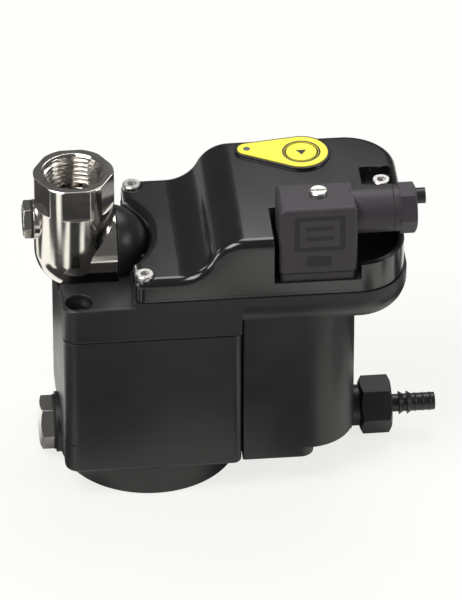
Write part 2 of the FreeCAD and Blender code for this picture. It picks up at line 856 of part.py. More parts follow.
def cut_valve(body):
    """Chamber, seat and channels of the diaphragm valve."""
    ledge = sketch(body, "valve_ledge", "XY_Plane", SLAB_TOP)
    circle(ledge, size.valve_at, 0, size.ledge_radius)
    pocket(body, ledge, size.ledge_depth)
    chamber = sketch(body, "valve_chamber", "XY_Plane", LEDGE)
    circle(chamber, size.valve_at, 0, size.chamber_radius)
    circle(chamber, size.valve_at, 0, size.seat_radius)
    pocket(body, chamber, size.chamber_depth)
    seat = sketch(body, "valve_seat", "XY_Plane", LEDGE)
    circle(seat, size.valve_at, 0, (size.seat_radius + size.chamber_radius) / 2)
    pocket(body, seat, size.seat_drop)
    down = sketch(body, "valve_outlet_down", "XY_Plane", SEAT_TOP)
    circle(down, size.valve_at, 0, size.outlet_channel)
    pocket(body, down, SEAT_TOP - size.outlet_height)
    out = sketch(body, "valve_outlet", "YZ_Plane", size.outlet_boss_right)
    circle(out, 0, size.outlet_height, size.outlet_channel)
    pocket(body, out, size.outlet_boss_right - size.valve_at)
    socket = sketch(body, "outlet_socket", "YZ_Plane", size.outlet_boss_right)
    circle(socket, 0, size.outlet_height, size.adaptor_shank + size.running_gap)
    pocket(body, socket, SHANK_LENGTH + size.face_gap)
    riser = sketch(body, "riser_socket", "XY_Plane", HEAD_BOTTOM)
    circle(riser, RISER_AT, 0, size.riser_radius + size.running_gap)
    pocket(body, riser, size.riser_socket, backwards=True)
    rise = sketch(body, "riser_channel", "XY_Plane", CROSS_HEIGHT)
    circle(rise, RISER_AT, 0, size.cross_channel_radius)
    pocket(body, rise, CROSS_HEIGHT - HEAD_BOTTOM)
    cross = sketch(body, "cross_channel", "YZ_Plane", size.valve_at - size.seat_radius)
    circle(cross, 0, CROSS_HEIGHT, size.cross_channel_radius)
    pocket(body, cross, size.valve_at - size.seat_radius - RISER_AT)


def cut_head_holes(body):
    sensor = sketch(body, "sensor_hole", "XY_Plane", SLAB_TOP)
    circle(sensor, size.sensor_across, size.sensor_side, size.sensor_radius + size.running_gap)
    pocket(body, sensor, size.slab_thickness)
    through = sketch(body, "body_screw_holes", "XY_Plane", SLAB_TOP)
    wide = sketch(body, "body_screw_counterbores", "XY_Plane", SLAB_TOP)
    for x, y in BODY_SCREWS:
        circle(through, x, y, size.body_screw_radius + size.running_gap)
        circle(wide, x, y, size.counterbore_radius)
    pocket(body, through, size.slab_thickness)
    pocket(body, wide, SLAB_TOP - COUNTERBORE_FLOOR)
    small = sketch(body, "cap_screw_holes", "XY_Plane", SLAB_TOP)
    for x, y in CAP_SCREWS:
        circle(small, x, y, size.small_screw_radius + size.running_gap)
    pocket(body, small, size.small_screw_depth + size.face_gap)
    pillar = sketch(body, "end_screw_pillar", "XY_Plane", SLAB_TOP)
    circle(pillar, END_SCREW_AT, END_SCREW_SIDE, size.pillar_radius)
    pad(body, pillar, PILLAR_TOP - SLAB_TOP)
    hole = sketch(body, "end_screw_hole", "XY_Plane", PILLAR_TOP)
    circle(hole, END_SCREW_AT, END_SCREW_SIDE, size.cover_screw_radius + size.running_gap)
    pocket(body, hole, size.cover_screw_depth)
    ears = sketch(body, "ear_screw_holes", "XY_Plane", SLAB_TOP)
    for x, y in EAR_SCREWS:
        circle(ears, x, y, size.cover_screw_radius + size.running_gap)
    pocket(body, ears, size.cover_screw_depth)


def make_body_screws():
    screws("body_screws", BODY_SCREWS, COUNTERBORE_FLOOR, size.body_screw_radius,
           size.body_screw_length, size.body_screw_head, size.body_screw_radius * 2,
           size.hexagon_socket)


# Inlet elbow, which turns in the neck

def make_elbow():
    """Modelled round the swivel's centre and moved into place."""
    body = new_body("inlet_elbow")
    top = ELBOW_TOP - BRANCH_HEIGHT
    edge = size.thread_chamfer / 2
    profile = sketch(body, "elbow_outside", "XZ_Plane")
    flat = root(size.elbow_radius * size.elbow_radius - size.elbow_dome * size.elbow_dome)
    draw(profile, [
        (NOTHING, -size.elbow_dome),
        (flat, -size.elbow_dome),
        (size.elbow_radius, NOTHING, size.elbow_radius),
        (size.elbow_radius, top - edge),
        (size.elbow_radius - edge, top),
        (NOTHING, top),
    ])
    spin("PartDesign::Revolution", body, profile)
    reach = ELBOW_AT - size.neck_face - size.face_gap
    branch = sketch(body, "elbow_branch", "YZ_Plane")
    circle(branch, 0, 0, size.elbow_branch_radius)
    pad(body, branch, reach)
    spigot = sketch(body, "elbow_spigot", "XZ_Plane")
    end = ELBOW_AT - size.spigot_end
    middle = ELBOW_AT - (size.neck_face - size.clip_thickness + size.spigot_end) / 2
    along = [(NOTHING, reach / 2), (size.spigot_radius, reach / 2)]
    along += ring_groove(size.spigot_radius, middle) + [(size.spigot_radius, end), (NOTHING, end)]
    draw(spigot, [(height, radius) for radius, height in along])
    spin("PartDesign::Revolution", body, spigot, "H_Axis")
    boss = sketch(body, "elbow_vent_boss", "YZ_Plane", -size.elbow_radius - size.vent_boss_proud)
    circle(boss, 0, VENT_HEIGHT - BRANCH_HEIGHT, size.vent_boss_radius)
    pad(body, boss, size.elbow_radius - size.thread_radius)
    inside = sketch(body, "elbow_inside", "XZ_Plane")
    step = size.thread_radius - size.elbow_bore
    draw(inside, [
        (NOTHING, top),
        (size.thread_radius + size.thread_chamfer, top),
        (size.thread_radius, top - size.thread_chamfer),
        (size.thread_radius, top - size.thread_depth),
        (size.elbow_bore, top - size.thread_depth - step / 2),
        (size.elbow_bore, -size.branch_bore),
        (NOTHING, -size.elbow_bore),
    ])
    spin("PartDesign::Groove", body, inside)
    bore = sketch(body, "elbow_branch_bore", "YZ_Plane")
    circle(bore, 0, 0, size.branch_bore)
    pocket(body, bore, ELBOW_AT, backwards=True)
    vent = sketch(body, "elbow_vent", "YZ_Plane", -size.elbow_radius - size.vent_boss_proud)
    circle(vent, 0, VENT_HEIGHT - BRANCH_HEIGHT, size.vent_radius + size.running_gap)
    pocket(body, vent, size.elbow_radius, backwards=True)
    flats = sketch(body, "elbow_flats", "XY_Plane", top)
    circle(flats, 0, 0, size.elbow_radius * 1.2)
    draw(flats, hexagon_path(size.elbow_hexagon))
    pocket(body, flats, size.hexagon_height)
    place(body, -ELBOW_AT, NOTHING, BRANCH_HEIGHT)
    o_ring("elbow_o_ring", groove_radius(size.spigot_radius), middle - ELBOW_AT, NOTHING,
           BRANCH_HEIGHT, ALONG_X)


def make_elbow_fittings():
    turned("elbow_retaining_ring",
           ring_path(size.spigot_radius + size.face_gap, size.clip_radius, NOTHING, size.clip_thickness),
           -size.neck_face, NOTHING, BRANCH_HEIGHT, ALONG_X)
    spot = (-ELBOW_AT - size.elbow_radius - size.vent_boss_proud, NOTHING, VENT_HEIGHT,
            AGAINST_X)
    hexagon_plug("vent_plug", size.vent_across, size.vent_head, size.vent_radius,
                 size.elbow_radius - size.thread_radius, size.washer_thickness, *spot, True)
    turned("vent_plug_washer", ring_path(size.vent_radius + size.running_gap,
                                         size.vent_boss_radius - size.vent_boss_proud,
                                         NOTHING, size.washer_thickness), *spot)


# Riser and level probe in the container

def make_riser():
    turned("riser_pipe", ring_path(size.riser_radius - size.riser_wall, size.riser_radius,
                                   size.riser_bottom,
                                   HEAD_BOTTOM + size.riser_socket - size.face_gap),
           RISER_AT)


def make_sensor():
    middle = HEAD_BOTTOM + size.slab_thickness / 2
    round_tip = size.sensor_radius / 2
    path = [
        (NOTHING, size.sensor_bottom),
        (size.sensor_radius - round_tip, size.sensor_bottom),
        (size.sensor_radius, size.sensor_bottom + round_tip, round_tip),
    ]
    path += ring_groove(size.sensor_radius, middle)
    path += [
        (size.sensor_radius, SLAB_TOP),
        (size.sensor_head_radius, SLAB_TOP),
        (size.sensor_head_radius, SLAB_TOP + size.sensor_head_height),
        (NOTHING, SLAB_TOP + size.sensor_head_height),
    ]
    turned("sensor_tube", path, size.sensor_across, size.sensor_side)
    o_ring("sensor_o_ring", groove_radius(size.sensor_radius), size.sensor_across,
           size.sensor_side, middle)


# Diaphragm valve with its pilot solenoid

def make_diaphragm():
    low, high = LEDGE, LEDGE + size.diaphragm_thickness
    turned("diaphragm", ring_path(size.disc_stem + size.face_gap,
                                  size.ledge_radius - size.face_gap, low, high), size.valve_at)


def make_valve_disc():
    low = SEAT_TOP + size.ring_play
    under = LEDGE - size.ring_play
    over = CAP_PLUG_BOTTOM + size.ring_play
    turned("valve_disc", [
        (NOTHING, low),
        (size.disc_radius, low),
        (size.disc_radius, under),
        (size.disc_stem, under),
        (size.disc_stem, over),
        (size.disc_radius, over),
        (size.disc_radius, over + size.disc_thickness),
        (NOTHING, over + size.disc_thickness),
    ], size.valve_at)
    start = over + size.disc_thickness + size.face_gap
    room = CAP_TOP - size.cap_roof - size.face_gap * 2 - start
    coil_spring("diaphragm_spring", size.disc_radius * 0.6, size.face_gap, room / 2, room,
                size.valve_at, NOTHING, start)


def make_valve_cap():
    body = new_body("valve_cap")
    profile = sketch(body, "valve_cap_profile", "XZ_Plane")
    plug = size.ledge_radius - size.running_gap
    draw(profile, [
        (size.cap_cavity_radius, CAP_PLUG_BOTTOM),
        (plug, CAP_PLUG_BOTTOM),
        (plug, SLAB_TOP),
        (size.cap_flange_radius, SLAB_TOP),
        (size.cap_flange_radius, CAP_TOP),
        (NOTHING, CAP_TOP),
        (NOTHING, CAP_TOP - size.cap_roof),
        (size.cap_cavity_radius, CAP_TOP - size.cap_roof),
    ])
    spin("PartDesign::Revolution", body, profile)
    for side in (-1, 1):
        lug = sketch(body, f"valve_cap_lug_{side + 2}", "XY_Plane", SLAB_TOP)
        inner, outer = size.chamber_radius * side, size.cap_lug_reach * side
        draw(lug, box_path(inner, outer, -size.cap_lug_half, size.cap_lug_half))
        pad(body, lug, size.cap_flange)
    holes = sketch(body, "valve_cap_holes", "XY_Plane", CAP_TOP)
    for x, y in CAP_SCREWS:
        circle(holes, x - size.valve_at, y, size.small_screw_radius + size.running_gap)
    circle(holes, 0, 0, size.inlet_channel_radius / 4)
    pocket(body, holes, size.cap_flange)
    place(body, size.valve_at)
    screws("valve_cap_screws", CAP_SCREWS, CAP_TOP, size.small_screw_radius,
           size.small_screw_depth + size.cap_flange, size.small_screw_head,
           size.small_screw_radius * 2, size.small_screw_radius * 1.6)


def make_solenoid():
    bore = size.core_radius - size.core_wall
    turned("core_tube", [
        (bore, CAP_TOP),
        (size.coil_half * 0.9, CAP_TOP),
        (size.coil_half * 0.9, CAP_TOP + size.core_wall),
        (size.core_radius, CAP_TOP + size.core_wall),
        (size.core_radius, CORE_TOP),
        (size.core_stud, CORE_TOP),
        (size.core_stud, CORE_TOP + size.coil_nut_height),
        (NOTHING, CORE_TOP + size.coil_nut_height),
        (NOTHING, CORE_TOP - size.core_wall),
        (bore, CORE_TOP - size.core_wall),
    ], size.valve_at)
    yoke_left = size.coil_half + size.yoke_thickness
    coil = new_body("solenoid_coil")
    plan = sketch(coil, "coil_plan", "XY_Plane", COIL_BOTTOM + size.yoke_thickness)
    draw(plan, box_path(-size.coil_half, size.coil_half, -size.coil_half, size.coil_half))
    circle(plan, 0, 0, size.core_radius + size.running_gap)
    pad(coil, plan, COIL_TOP - COIL_BOTTOM - size.yoke_thickness * 2)
    fillet(coil, "coil_edges", size.yoke_thickness,
           lambda edge: near(edge.BoundBox.XLength, 0) and near(edge.BoundBox.YLength, 0)
           and abs(edge.BoundBox.XMin) > size.core_radius.number + 1)
    place(coil, size.valve_at)
    yoke = new_body("coil_yoke")
    frame = sketch(yoke, "yoke_frame", "XZ_Plane")
    draw(frame, box_path(-yoke_left, yoke_left, COIL_BOTTOM, COIL_TOP))
    window = size.coil_half + size.ring_play
    draw(frame, box_path(-window, window, COIL_BOTTOM + size.yoke_thickness,
                         COIL_TOP - size.yoke_thickness))
    pad(yoke, frame, size.coil_half * 1.6, symmetric=True)
    hole = sketch(yoke, "yoke_hole", "XY_Plane", COIL_TOP)
    circle(hole, 0, 0, size.core_radius + size.running_gap)
    pocket(yoke, hole, COIL_TOP - COIL_BOTTOM)
    place(yoke, size.valve_at)
    nut = new_body("coil_nut")
    across = sketch(nut, "coil_nut_plan", "XY_Plane")
    draw(across, hexagon_path(size.coil_nut_across))
    circle(across, 0, 0, size.core_stud + size.running_gap)
    pad(nut, across, size.coil_nut_height)
    chamfer_hexagon(nut, "coil_nut_edge", size.coil_nut_across, size.coil_nut_height)
    place(nut, size.valve_at, NOTHING, CORE_TOP)


def make_plunger():
    low = CAP_TOP + size.ring_play
    radius = size.core_radius - size.core_wall - size.running_gap
    turned("pilot_plunger", [
        (NOTHING, low),
        (radius / 2, low),
        (radius, low + radius / 2),
        (radius, low + size.plunger_length),
        (NOTHING, low + size.plunger_length),
    ], size.valve_at)
    start = low + size.plunger_length + size.face_gap
    room = CORE_TOP - size.core_wall - size.face_gap - start
    coil_spring("plunger_spring", radius * 0.7, size.face_gap, room / 5, room,
                size.valve_at, NOTHING, start)


# Cover

def cover_plan(inset):
    """Plan of the cover, drawn in by a wall: hollow round the neck, round at the outlet end."""
    left = inset - size.shelf_right
    right = size.cover_right - inset
    side = size.half_depth - inset
    end = size.end_radius - inset
    ear = size.ear_corner - inset
    hollow = size.collar_radius + inset
    reach = left + size.collar_centre
    meet = root(hollow * hollow - reach * reach)
    return [
        (left + ear, -side, ear),
        (right - end, -side),
        (right, end - side, end),
        (right, side - end),
        (right - end, side, end),
        (left + ear, side),
        (left, side - ear, ear),
        (left, meet),
        (left, -meet, -hollow),
        (left, ear - side),
    ]


def cover_profile(inset, low):
    """Side view of the cover: low over the ears, then an S up to the dome."""
    run = size.slope_right - size.slope_left
    rise = DOME_TOP - EAR_TOP
    bend = (run * run + rise * rise) / (rise * 4)
    middle_x = (size.slope_left + size.slope_right) / 2 + inset * run / (bend * 2)
    middle_z = (EAR_TOP + DOME_TOP) / 2 + inset * (rise - bend * 2) / (bend * 2)
    left = inset - size.shelf_right
    right = size.cover_right - inset
    return [
        (left, low),
        (right, low),
        (right, DOME_TOP - inset),
        (size.slope_right, DOME_TOP - inset),
        (middle_x, middle_z, bend - inset),
        (size.slope_left, EAR_TOP - inset, -bend - inset),
        (left, EAR_TOP - inset),
    ]


def cover_block(label, inset, low):
    """The cover's outer form, or its hollow where it is drawn in by the wall."""
    body = new_body(label)
    side_view = sketch(body, label + "_side", "XZ_Plane")
    draw(side_view, cover_profile(inset, low))
    pad(body, side_view, size.half_depth * 2, symmetric=True)
    trim = sketch(body, label + "_trim", "XY_Plane", DOME_TOP)
    draw(trim, box_path(-LEFT_FACE, size.slab_right * 1.1, -size.half_depth * 1.2,
                        size.half_depth * 1.2))
    draw(trim, cover_plan(inset))
    pocket(body, trim, DOME_TOP - low)
    return body


def cover_top_edge(edge):
    box = edge.BoundBox
    upright = near(box.XLength, 0) and near(box.YLength, 0)
    across = box.YLength > size.half_depth.number * 1.6
    return not upright and not across and box.ZMin > COVER_BOTTOM.number + 1


def bay_path(grow, right, deep):
    """Rectangle of the connector's bay, grown by a wall; it runs out past the front."""
    return box_path(BAY_LEFT - grow, right, -deep, grow - BAY_BACK)


def rim_inside_path():
    """Floor of the bay behind the low rim."""
    wall = size.cover_wall
    right = size.cover_right - wall
    side = size.half_depth - wall
    end = size.end_radius - wall
    return [
        (BAY_LEFT, -side),
        (right - end, -side),
        (right, end - side, end),
        (right, -BAY_BACK),
        (BAY_LEFT, -BAY_BACK),
    ]


def make_cover():
    outside = cover_block("cover_outside", NOTHING, COVER_BOTTOM)
    fillet(outside, "cover_rounding", size.cover_fillet, cover_top_edge)
    beyond = size.half_depth * 1.2
    above = sketch(outside, "bay_above_rim", "XY_Plane", DOME_TOP)
    draw(above, bay_path(NOTHING, size.slab_right * 1.1, beyond))
    pocket(outside, above, DOME_TOP - RIM_TOP)
    behind = sketch(outside, "bay_behind_rim", "XY_Plane", RIM_TOP)
    draw(behind, rim_inside_path())
    pocket(outside, behind, RIM_TOP - BAY_FLOOR)
    bay = sketch(outside, "connector_bay", "XY_Plane", RIM_TOP)
    draw(bay, bay_path(NOTHING, BAY_RIGHT, beyond))
    pocket(outside, bay, RIM_TOP - BAY_FLOOR)
    recess = sketch(outside, "end_screw_recess", "XY_Plane", DOME_TOP)
    corner = size.recess_corner
    draw(recess, soft_box_path(RECESS_LEFT, RECESS_RIGHT, RECESS_FRONT,
                               RECESS_BACK, corner, corner))
    pocket(outside, recess, DOME_TOP - RECESS_FLOOR)
    label_pad = sketch(outside, "label_pad", "XY_Plane", DOME_TOP, DROP_SIDE,
                       DROP_AT, DROP_TURN)
    draw(label_pad, drop_path(size.drop_rim))
    pad(outside, label_pad, size.drop_pad)
    inside = cover_block("cover_inside", size.cover_wall, COVER_BOTTOM)
    wall = size.cover_wall
    keep_bay = sketch(inside, "keep_bay", "XY_Plane", DOME_TOP)
    draw(keep_bay, bay_path(wall, size.slab_right * 1.1, beyond))
    pocket(inside, keep_bay, DOME_TOP - BAY_FLOOR + wall)
    keep_recess = sketch(inside, "keep_recess", "XY_Plane", DOME_TOP)
    draw(keep_recess, box_path(RECESS_LEFT - wall, size.slab_right,
                               RECESS_FRONT - wall, RECESS_BACK + wall))
    pocket(inside, keep_recess, DOME_TOP - RECESS_FLOOR + wall)
    keep_ears = sketch(inside, "keep_ears", "XY_Plane", DOME_TOP)
    for x, y in EAR_SCREWS:
        circle(keep_ears, x, y, size.cover_screw_radius + wall)
    pocket(inside, keep_ears, size.dome_height)
    shell = doc.addObject("Part::Cut", "cover_shell")
    shell.Base = outside
    shell.Tool = inside
    cover = doc.addObject("Part::Cut", "cover")
    cover.Label = "cover"
    cover.Base = shell
    cover.Tool = cover_holes()


def cover_holes():
    """Tools for every hole and spot face in the cover."""
    tools = []
    shank = size.cover_screw_radius + size.face_gap
    for x, y in EAR_SCREWS:
        tools.append(rod("cover_ear_hole", x, y, COVER_BOTTOM, shank, size.ear_height))
        tools.append(rod("cover_ear_face", x, y, EAR_TOP - size.spotface_drop,
                         size.cover_screw_head + size.face_gap, size.ear_height))
    tools.append(rod("cover_end_hole", END_SCREW_AT, END_SCREW_SIDE,
                     RECESS_FLOOR - size.cover_wall, shank, size.cover_wall * 2))
    tools.append(rod("cover_button_hole", DROP_AT, DROP_SIDE,
                     DOME_TOP - size.cover_wall * 2, size.button_radius + size.running_gap * 2,
                     size.cover_wall * 4))
    tools.append(rod("cover_guide_hole", TIP[0], TIP[1], DOME_TOP - size.cover_wall * 2,
                     size.guide_radius + size.running_gap, size.cover_wall * 4))
    tools.append(rod("cover_wire_hole", CONNECTOR_MIDDLE, -CONNECTOR_AXIS,
                     BAY_FLOOR - size.cover_wall * 2, size.pin_width, size.cover_wall * 2))
    plug_end = size.cover_right - size.end_plug_grip - size.running_gap
    plug = rod("cover_plug_hole", plug_end, size.end_plug_side, END_PLUG_HEIGHT,
               size.end_plug_stub - size.face_gap, size.cover_wall * 2)
    place(plug, plug_end, size.end_plug_side, END_PLUG_HEIGHT, ALONG_X)
    tools.append(plug)
    holes = doc.addObject("Part::MultiFuse", "cover_holes")
    holes.Shapes = tools
    return holes


def rod(name, x, y, z, radius, height):
    item = doc.addObject("Part::Cylinder", name)
    hold(item, "Radius", radius)
    hold(item, "Height", height)
    place(item, x, y, z)
    return item


def drop_path(grow):
    """Drop-shaped outline: a large and a small circle with their two outer tangents."""
    big = size.drop_round_radius + grow
    small = size.drop_tip_radius + grow
    lean = (big - small) / size.drop_tip_reach
    spread = root(as_size(1) - lean * lean)
    tip = -size.drop_tip_reach
    return [
        (-(big * lean), -(big * spread)),
        (big, NOTHING, big),
        (-(big * lean), big * spread, big),
        (tip - small * lean, small * spread),
        (tip - small * lean, -(small * spread), small),
    ]


def make_cover_gasket():
    body = new_body("cover_gasket")
    plan = sketch(body, "cover_gasket_plan", "XY_Plane", SLAB_TOP)
    draw(plan, cover_plan(size.seal_inset))
    draw(plan, cover_plan(size.cover_wall))
    pad(body, plan, size.seal_thickness)


def make_cover_screws():
    pieces = []
    for number, (x, y, rest, grip) in enumerate([
        (*EAR_SCREWS[0], EAR_TOP - size.spotface_drop, EAR_TOP - size.spotface_drop - SLAB_TOP),
        (*EAR_SCREWS[1], EAR_TOP - size.spotface_drop, EAR_TOP - size.spotface_drop - SLAB_TOP),
        (END_SCREW_AT, END_SCREW_SIDE, RECESS_FLOOR, RECESS_FLOOR - PILLAR_TOP),
    ], 1):
        path, drive = cap_screw_path(size.cover_screw_radius,
                                     grip + size.cover_screw_depth - size.face_gap,
                                     size.cover_screw_head, size.cover_screw_head_height,
                                     size.cover_screw_radius * 1.8)
        body = turned(f"cover_screw_{number}", path, x, y, rest)
        hole = sketch(body, f"cover_screw_drive_{number}", "XY_Plane", size.cover_screw_head_height)
        draw(hole, hexagon_path(drive))
        pocket(body, hole, size.cover_screw_head_height * 0.6)
        pieces.append(body)
    group("cover_screws", pieces)


# Label, test button and light guide

def make_label():
    body = new_body("label")
    plan = sketch(body, "label_plan", "XY_Plane")
    draw(plan, drop_path(NOTHING))
    circle(plan, 0, 0, size.button_ring)
    circle(plan, -size.drop_tip_reach, 0, size.guide_radius + size.running_gap)
    pad(body, plan, size.label_thickness)
    place(body, DROP_AT, DROP_SIDE, PAD_TOP,
          Rotation(Vector(0, 0, 1), DROP_TURN))


def make_button():
    ceiling = DOME_TOP - size.cover_wall
    flange_top = ceiling - size.ring_play
    flange_low = flange_top - size.cover_wall / 2
    stem_low = BOARD_TOP + size.switch_height + size.button_travel + size.ring_play * 2
    stem = size.switch_side / 4
    turned("test_button", [
        (NOTHING, stem_low),
        (stem, stem_low),
        (stem, flange_low),
        (size.button_flange, flange_low),
        (size.button_flange, flange_top),
        (size.button_radius, flange_top),
        (size.button_radius, LABEL_TOP),
        (NOTHING, LABEL_TOP),
    ], DROP_AT, DROP_SIDE)
    start = BOARD_TOP + size.face_gap * 2
    room = flange_low - size.face_gap * 2 - start
    coil_spring("button_spring", BUTTON_SPRING_RADIUS, size.face_gap, room / 3, room,
                DROP_AT, DROP_SIDE, start)


def make_light_guide():
    ceiling = DOME_TOP - size.cover_wall
    low = BOARD_TOP + size.switch_height * 0.75
    shoulder = ceiling - size.ring_play
    turned("light_guide", [
        (NOTHING, low),
        (size.guide_radius * 1.6, low),
        (size.guide_radius * 1.6, shoulder),
        (size.guide_radius, shoulder),
        (size.guide_radius, LABEL_TOP),
        (NOTHING, LABEL_TOP),
    ], *TIP)


# Circuit board

def make_board():
    body = new_body("circuit_board")
    plan = sketch(body, "board_plan", "XY_Plane", BOARD_BOTTOM)
    draw(plan, box_path(BOARD_LEFT, BOARD_RIGHT, BOARD_FRONT, BOARD_BACK))
    for x, y in BOARD_POSTS:
        circle(plan, x, y, size.board_screw_radius + size.running_gap)
    pad(body, plan, size.board_thickness)
    posts = []
    for number, (x, y) in enumerate(BOARD_POSTS, 1):
        bore = size.board_screw_radius + size.running_gap
        low, high = SLAB_TOP, BOARD_BOTTOM
        bottom = high - size.board_screw_length - size.face_gap
        posts.append(turned(f"board_post_{number}", [
            (NOTHING, low),
            (size.post_radius, low),
            (size.post_radius, high),
            (bore, high),
            (bore, bottom),
            (NOTHING, bottom),
        ], x, y))
    group("board_posts", posts)
    screws("board_screws", BOARD_POSTS, BOARD_TOP, size.board_screw_radius,
           size.board_screw_length + size.board_thickness, size.board_screw_head,
           size.board_screw_radius * 1.4, size.board_screw_radius * 1.6)


def make_board_parts():
    """Switch under the button, light-emitting diode, terminal block, chip and capacitor."""
    half = size.switch_side / 2
    switch = lump("board_switch", DROP_AT - half, DROP_SIDE - half,
                  size.switch_side, size.switch_side, size.switch_case)
    key = rod("board_switch_key", DROP_AT, DROP_SIDE, BOARD_TOP,
              size.switch_side / 4, size.switch_height)
    button = doc.addObject("Part::Fuse", "board_switch_whole")
    button.Base = switch
    button.Tool = key
    diode = rod("board_diode", *TIP, BOARD_TOP, size.guide_radius, size.diode_height)
    chip = lump("board_chip", TIP[0] + size.parts_gap, BOARD_FRONT + size.post_inset / 2,
                size.chip_length, size.switch_side, size.board_thickness)
    tank = rod("board_capacitor", BOARD_LEFT + size.post_inset,
               BOARD_FRONT + size.capacitor_radius + size.face_gap, BOARD_TOP,
               size.capacitor_radius, size.capacitor_height)
    block = lump("board_terminals",
                 BOARD_LEFT + size.post_inset + size.capacitor_radius + size.face_gap * 3,
                 BOARD_FRONT + size.face_gap, size.block_length, size.block_length,
                 size.block_height)
    group("board_parts", [button, diode, chip, tank, block])


def lump(name, x, y, length, width, height):
    item = doc.addObject("Part::Box", name)
    hold(item, "Length", length)
    hold(item, "Width", width)
    hold(item, "Height", height)
    place(item, x, y, BOARD_TOP)
    return item


# Electrical connector

def connector_path(inset):
    corner = size.connector_corner
    return soft_box_path(CONNECTOR_LEFT + inset, CONNECTOR_RIGHT - inset,
                         inset - CONNECTOR_FRONT, -CONNECTOR_BACK - inset, corner, corner)


def pin_paths():
    """Two power blades across, one earth blade beside them."""
    half_width = size.pin_width / 2
    half_thick = size.pin_thickness / 2
    middle, axis = CONNECTOR_MIDDLE, -CONNECTOR_AXIS
    for side in (-1, 1):
        x = middle + size.pin_pitch / 2 * side
        yield box_path(x - half_thick, x + half_thick, axis - half_width, axis + half_width)
    y = axis - size.pin_pitch / 4
    yield box_path(middle - half_width, middle + half_width, y - half_thick, y + half_thick)


def make_connector_base():
    body = new_body("connector_base")
    plan = sketch(body, "connector_base_plan", "XY_Plane", BAY_FLOOR)
    draw(plan, connector_path(size.seal_inset))
    pad(body, plan, size.connector_base_height)
    hole = sketch(body, "connector_base_hole", "XY_Plane", BASE_TOP)
    circle(hole, CONNECTOR_SCREW_AT, -CONNECTOR_SCREW_SIDE,
           size.connector_screw_radius + size.running_gap)
    pocket(body, hole, size.connector_base_height * 0.8)
    pins = new_body("connector_pins")
    for number, path in enumerate(pin_paths(), 1):
        blade = sketch(pins, f"connector_pin_{number}", "XY_Plane", BASE_TOP)
        draw(blade, path)
        pad(pins, blade, size.pin_length)
    seal = new_body("connector_gasket")
    ring = sketch(seal, "connector_gasket_plan", "XY_Plane", BASE_TOP)
    draw(ring, connector_path(size.seal_inset))
    draw(ring, connector_path(size.seal_inset + size.connector_wall))
    pad(seal, ring, size.connector_seal)


def make_terminal_insert():
    body = new_body("terminal_insert")
    gap = size.connector_wall + size.face_gap
    plan = sketch(body, "terminal_insert_plan", "XY_Plane", HOUSING_BOTTOM)
    corner = size.connector_corner - size.face_gap
    draw(plan, soft_box_path(CONNECTOR_LEFT + gap, CONNECTOR_RIGHT - gap,
                             gap - CONNECTOR_FRONT, -CONNECTOR_BACK - gap, corner, corner))
    circle(plan, CONNECTOR_SCREW_AT, -CONNECTOR_SCREW_SIDE,
           size.connector_screw_radius + size.face_gap)
    half_width = size.pin_width / 2 + size.face_gap
    half_thick = size.pin_thickness / 2 + size.face_gap
    middle, axis = CONNECTOR_MIDDLE, -CONNECTOR_AXIS
    for side in (-1, 1):
        x = middle + size.pin_pitch / 2 * side
        draw(plan, box_path(x - half_thick, x + half_thick, axis - half_width, axis + half_width))
    y = axis - size.pin_pitch / 4
    draw(plan, box_path(middle - half_width, middle + half_width, y - half_thick, y + half_thick))
    pad(body, plan, size.pin_length)


def make_connector_housing():
    body = new_body("connector_housing")
    plan = sketch(body, "housing_plan", "XY_Plane", HOUSING_BOTTOM)
    draw(plan, connector_path(NOTHING))
    pad(body, plan, CONNECTOR_TOP - HOUSING_BOTTOM)
    fillet(body, "housing_edges", size.connector_corner * 0.75,
           lambda edge: flat_at(edge, CONNECTOR_TOP))
    gland = sketch(body, "housing_gland", "YZ_Plane", CONNECTOR_RIGHT - size.connector_wall)
    circle(gland, -CONNECTOR_SCREW_SIDE, GLAND_HEIGHT, size.gland_radius)
    pad(body, gland, GLAND_RIGHT - CONNECTOR_RIGHT + size.connector_wall)
    thread = sketch(body, "housing_thread", "YZ_Plane", GLAND_RIGHT)
    circle(thread, -CONNECTOR_SCREW_SIDE, GLAND_HEIGHT, size.gland_thread)
    pad(body, thread, size.gland_thread_length)
    hollow = sketch(body, "housing_hollow", "XY_Plane", HOUSING_BOTTOM)
    draw(hollow, connector_path(size.connector_wall))
    pocket(body, hollow, CONNECTOR_TOP - HOUSING_BOTTOM - size.connector_wall, backwards=True)
    bore = sketch(body, "housing_gland_bore", "YZ_Plane", GLAND_RIGHT + size.gland_thread_length)
    circle(bore, -CONNECTOR_SCREW_SIDE, GLAND_HEIGHT, size.gland_bore)
    pocket(body, bore, GLAND_RIGHT + size.gland_thread_length - CONNECTOR_RIGHT
           + size.connector_wall * 2)
    hole = sketch(body, "housing_screw_hole", "XY_Plane", CONNECTOR_TOP)
    circle(hole, CONNECTOR_SCREW_AT, -CONNECTOR_SCREW_SIDE,
           size.connector_screw_radius + size.face_gap)
    pocket(body, hole, size.connector_wall * 2)


def make_connector_screw():
    length = CONNECTOR_TOP - BASE_TOP + size.connector_base_height / 2
    head_height = size.connector_screw_radius
    path, drive = cap_screw_path(size.connector_screw_radius, length, size.connector_screw_head,
                                 head_height, size.pin_thickness)
    body = turned("connector_screw", path, CONNECTOR_SCREW_AT, -CONNECTOR_SCREW_SIDE,
                  CONNECTOR_TOP)
    slot = sketch(body, "connector_screw_slot", "XY_Plane", head_height)
    draw(slot, box_path(-size.connector_screw_head, size.connector_screw_head,
                        -drive / 2, drive / 2))
    pocket(body, slot, head_height * 0.6)


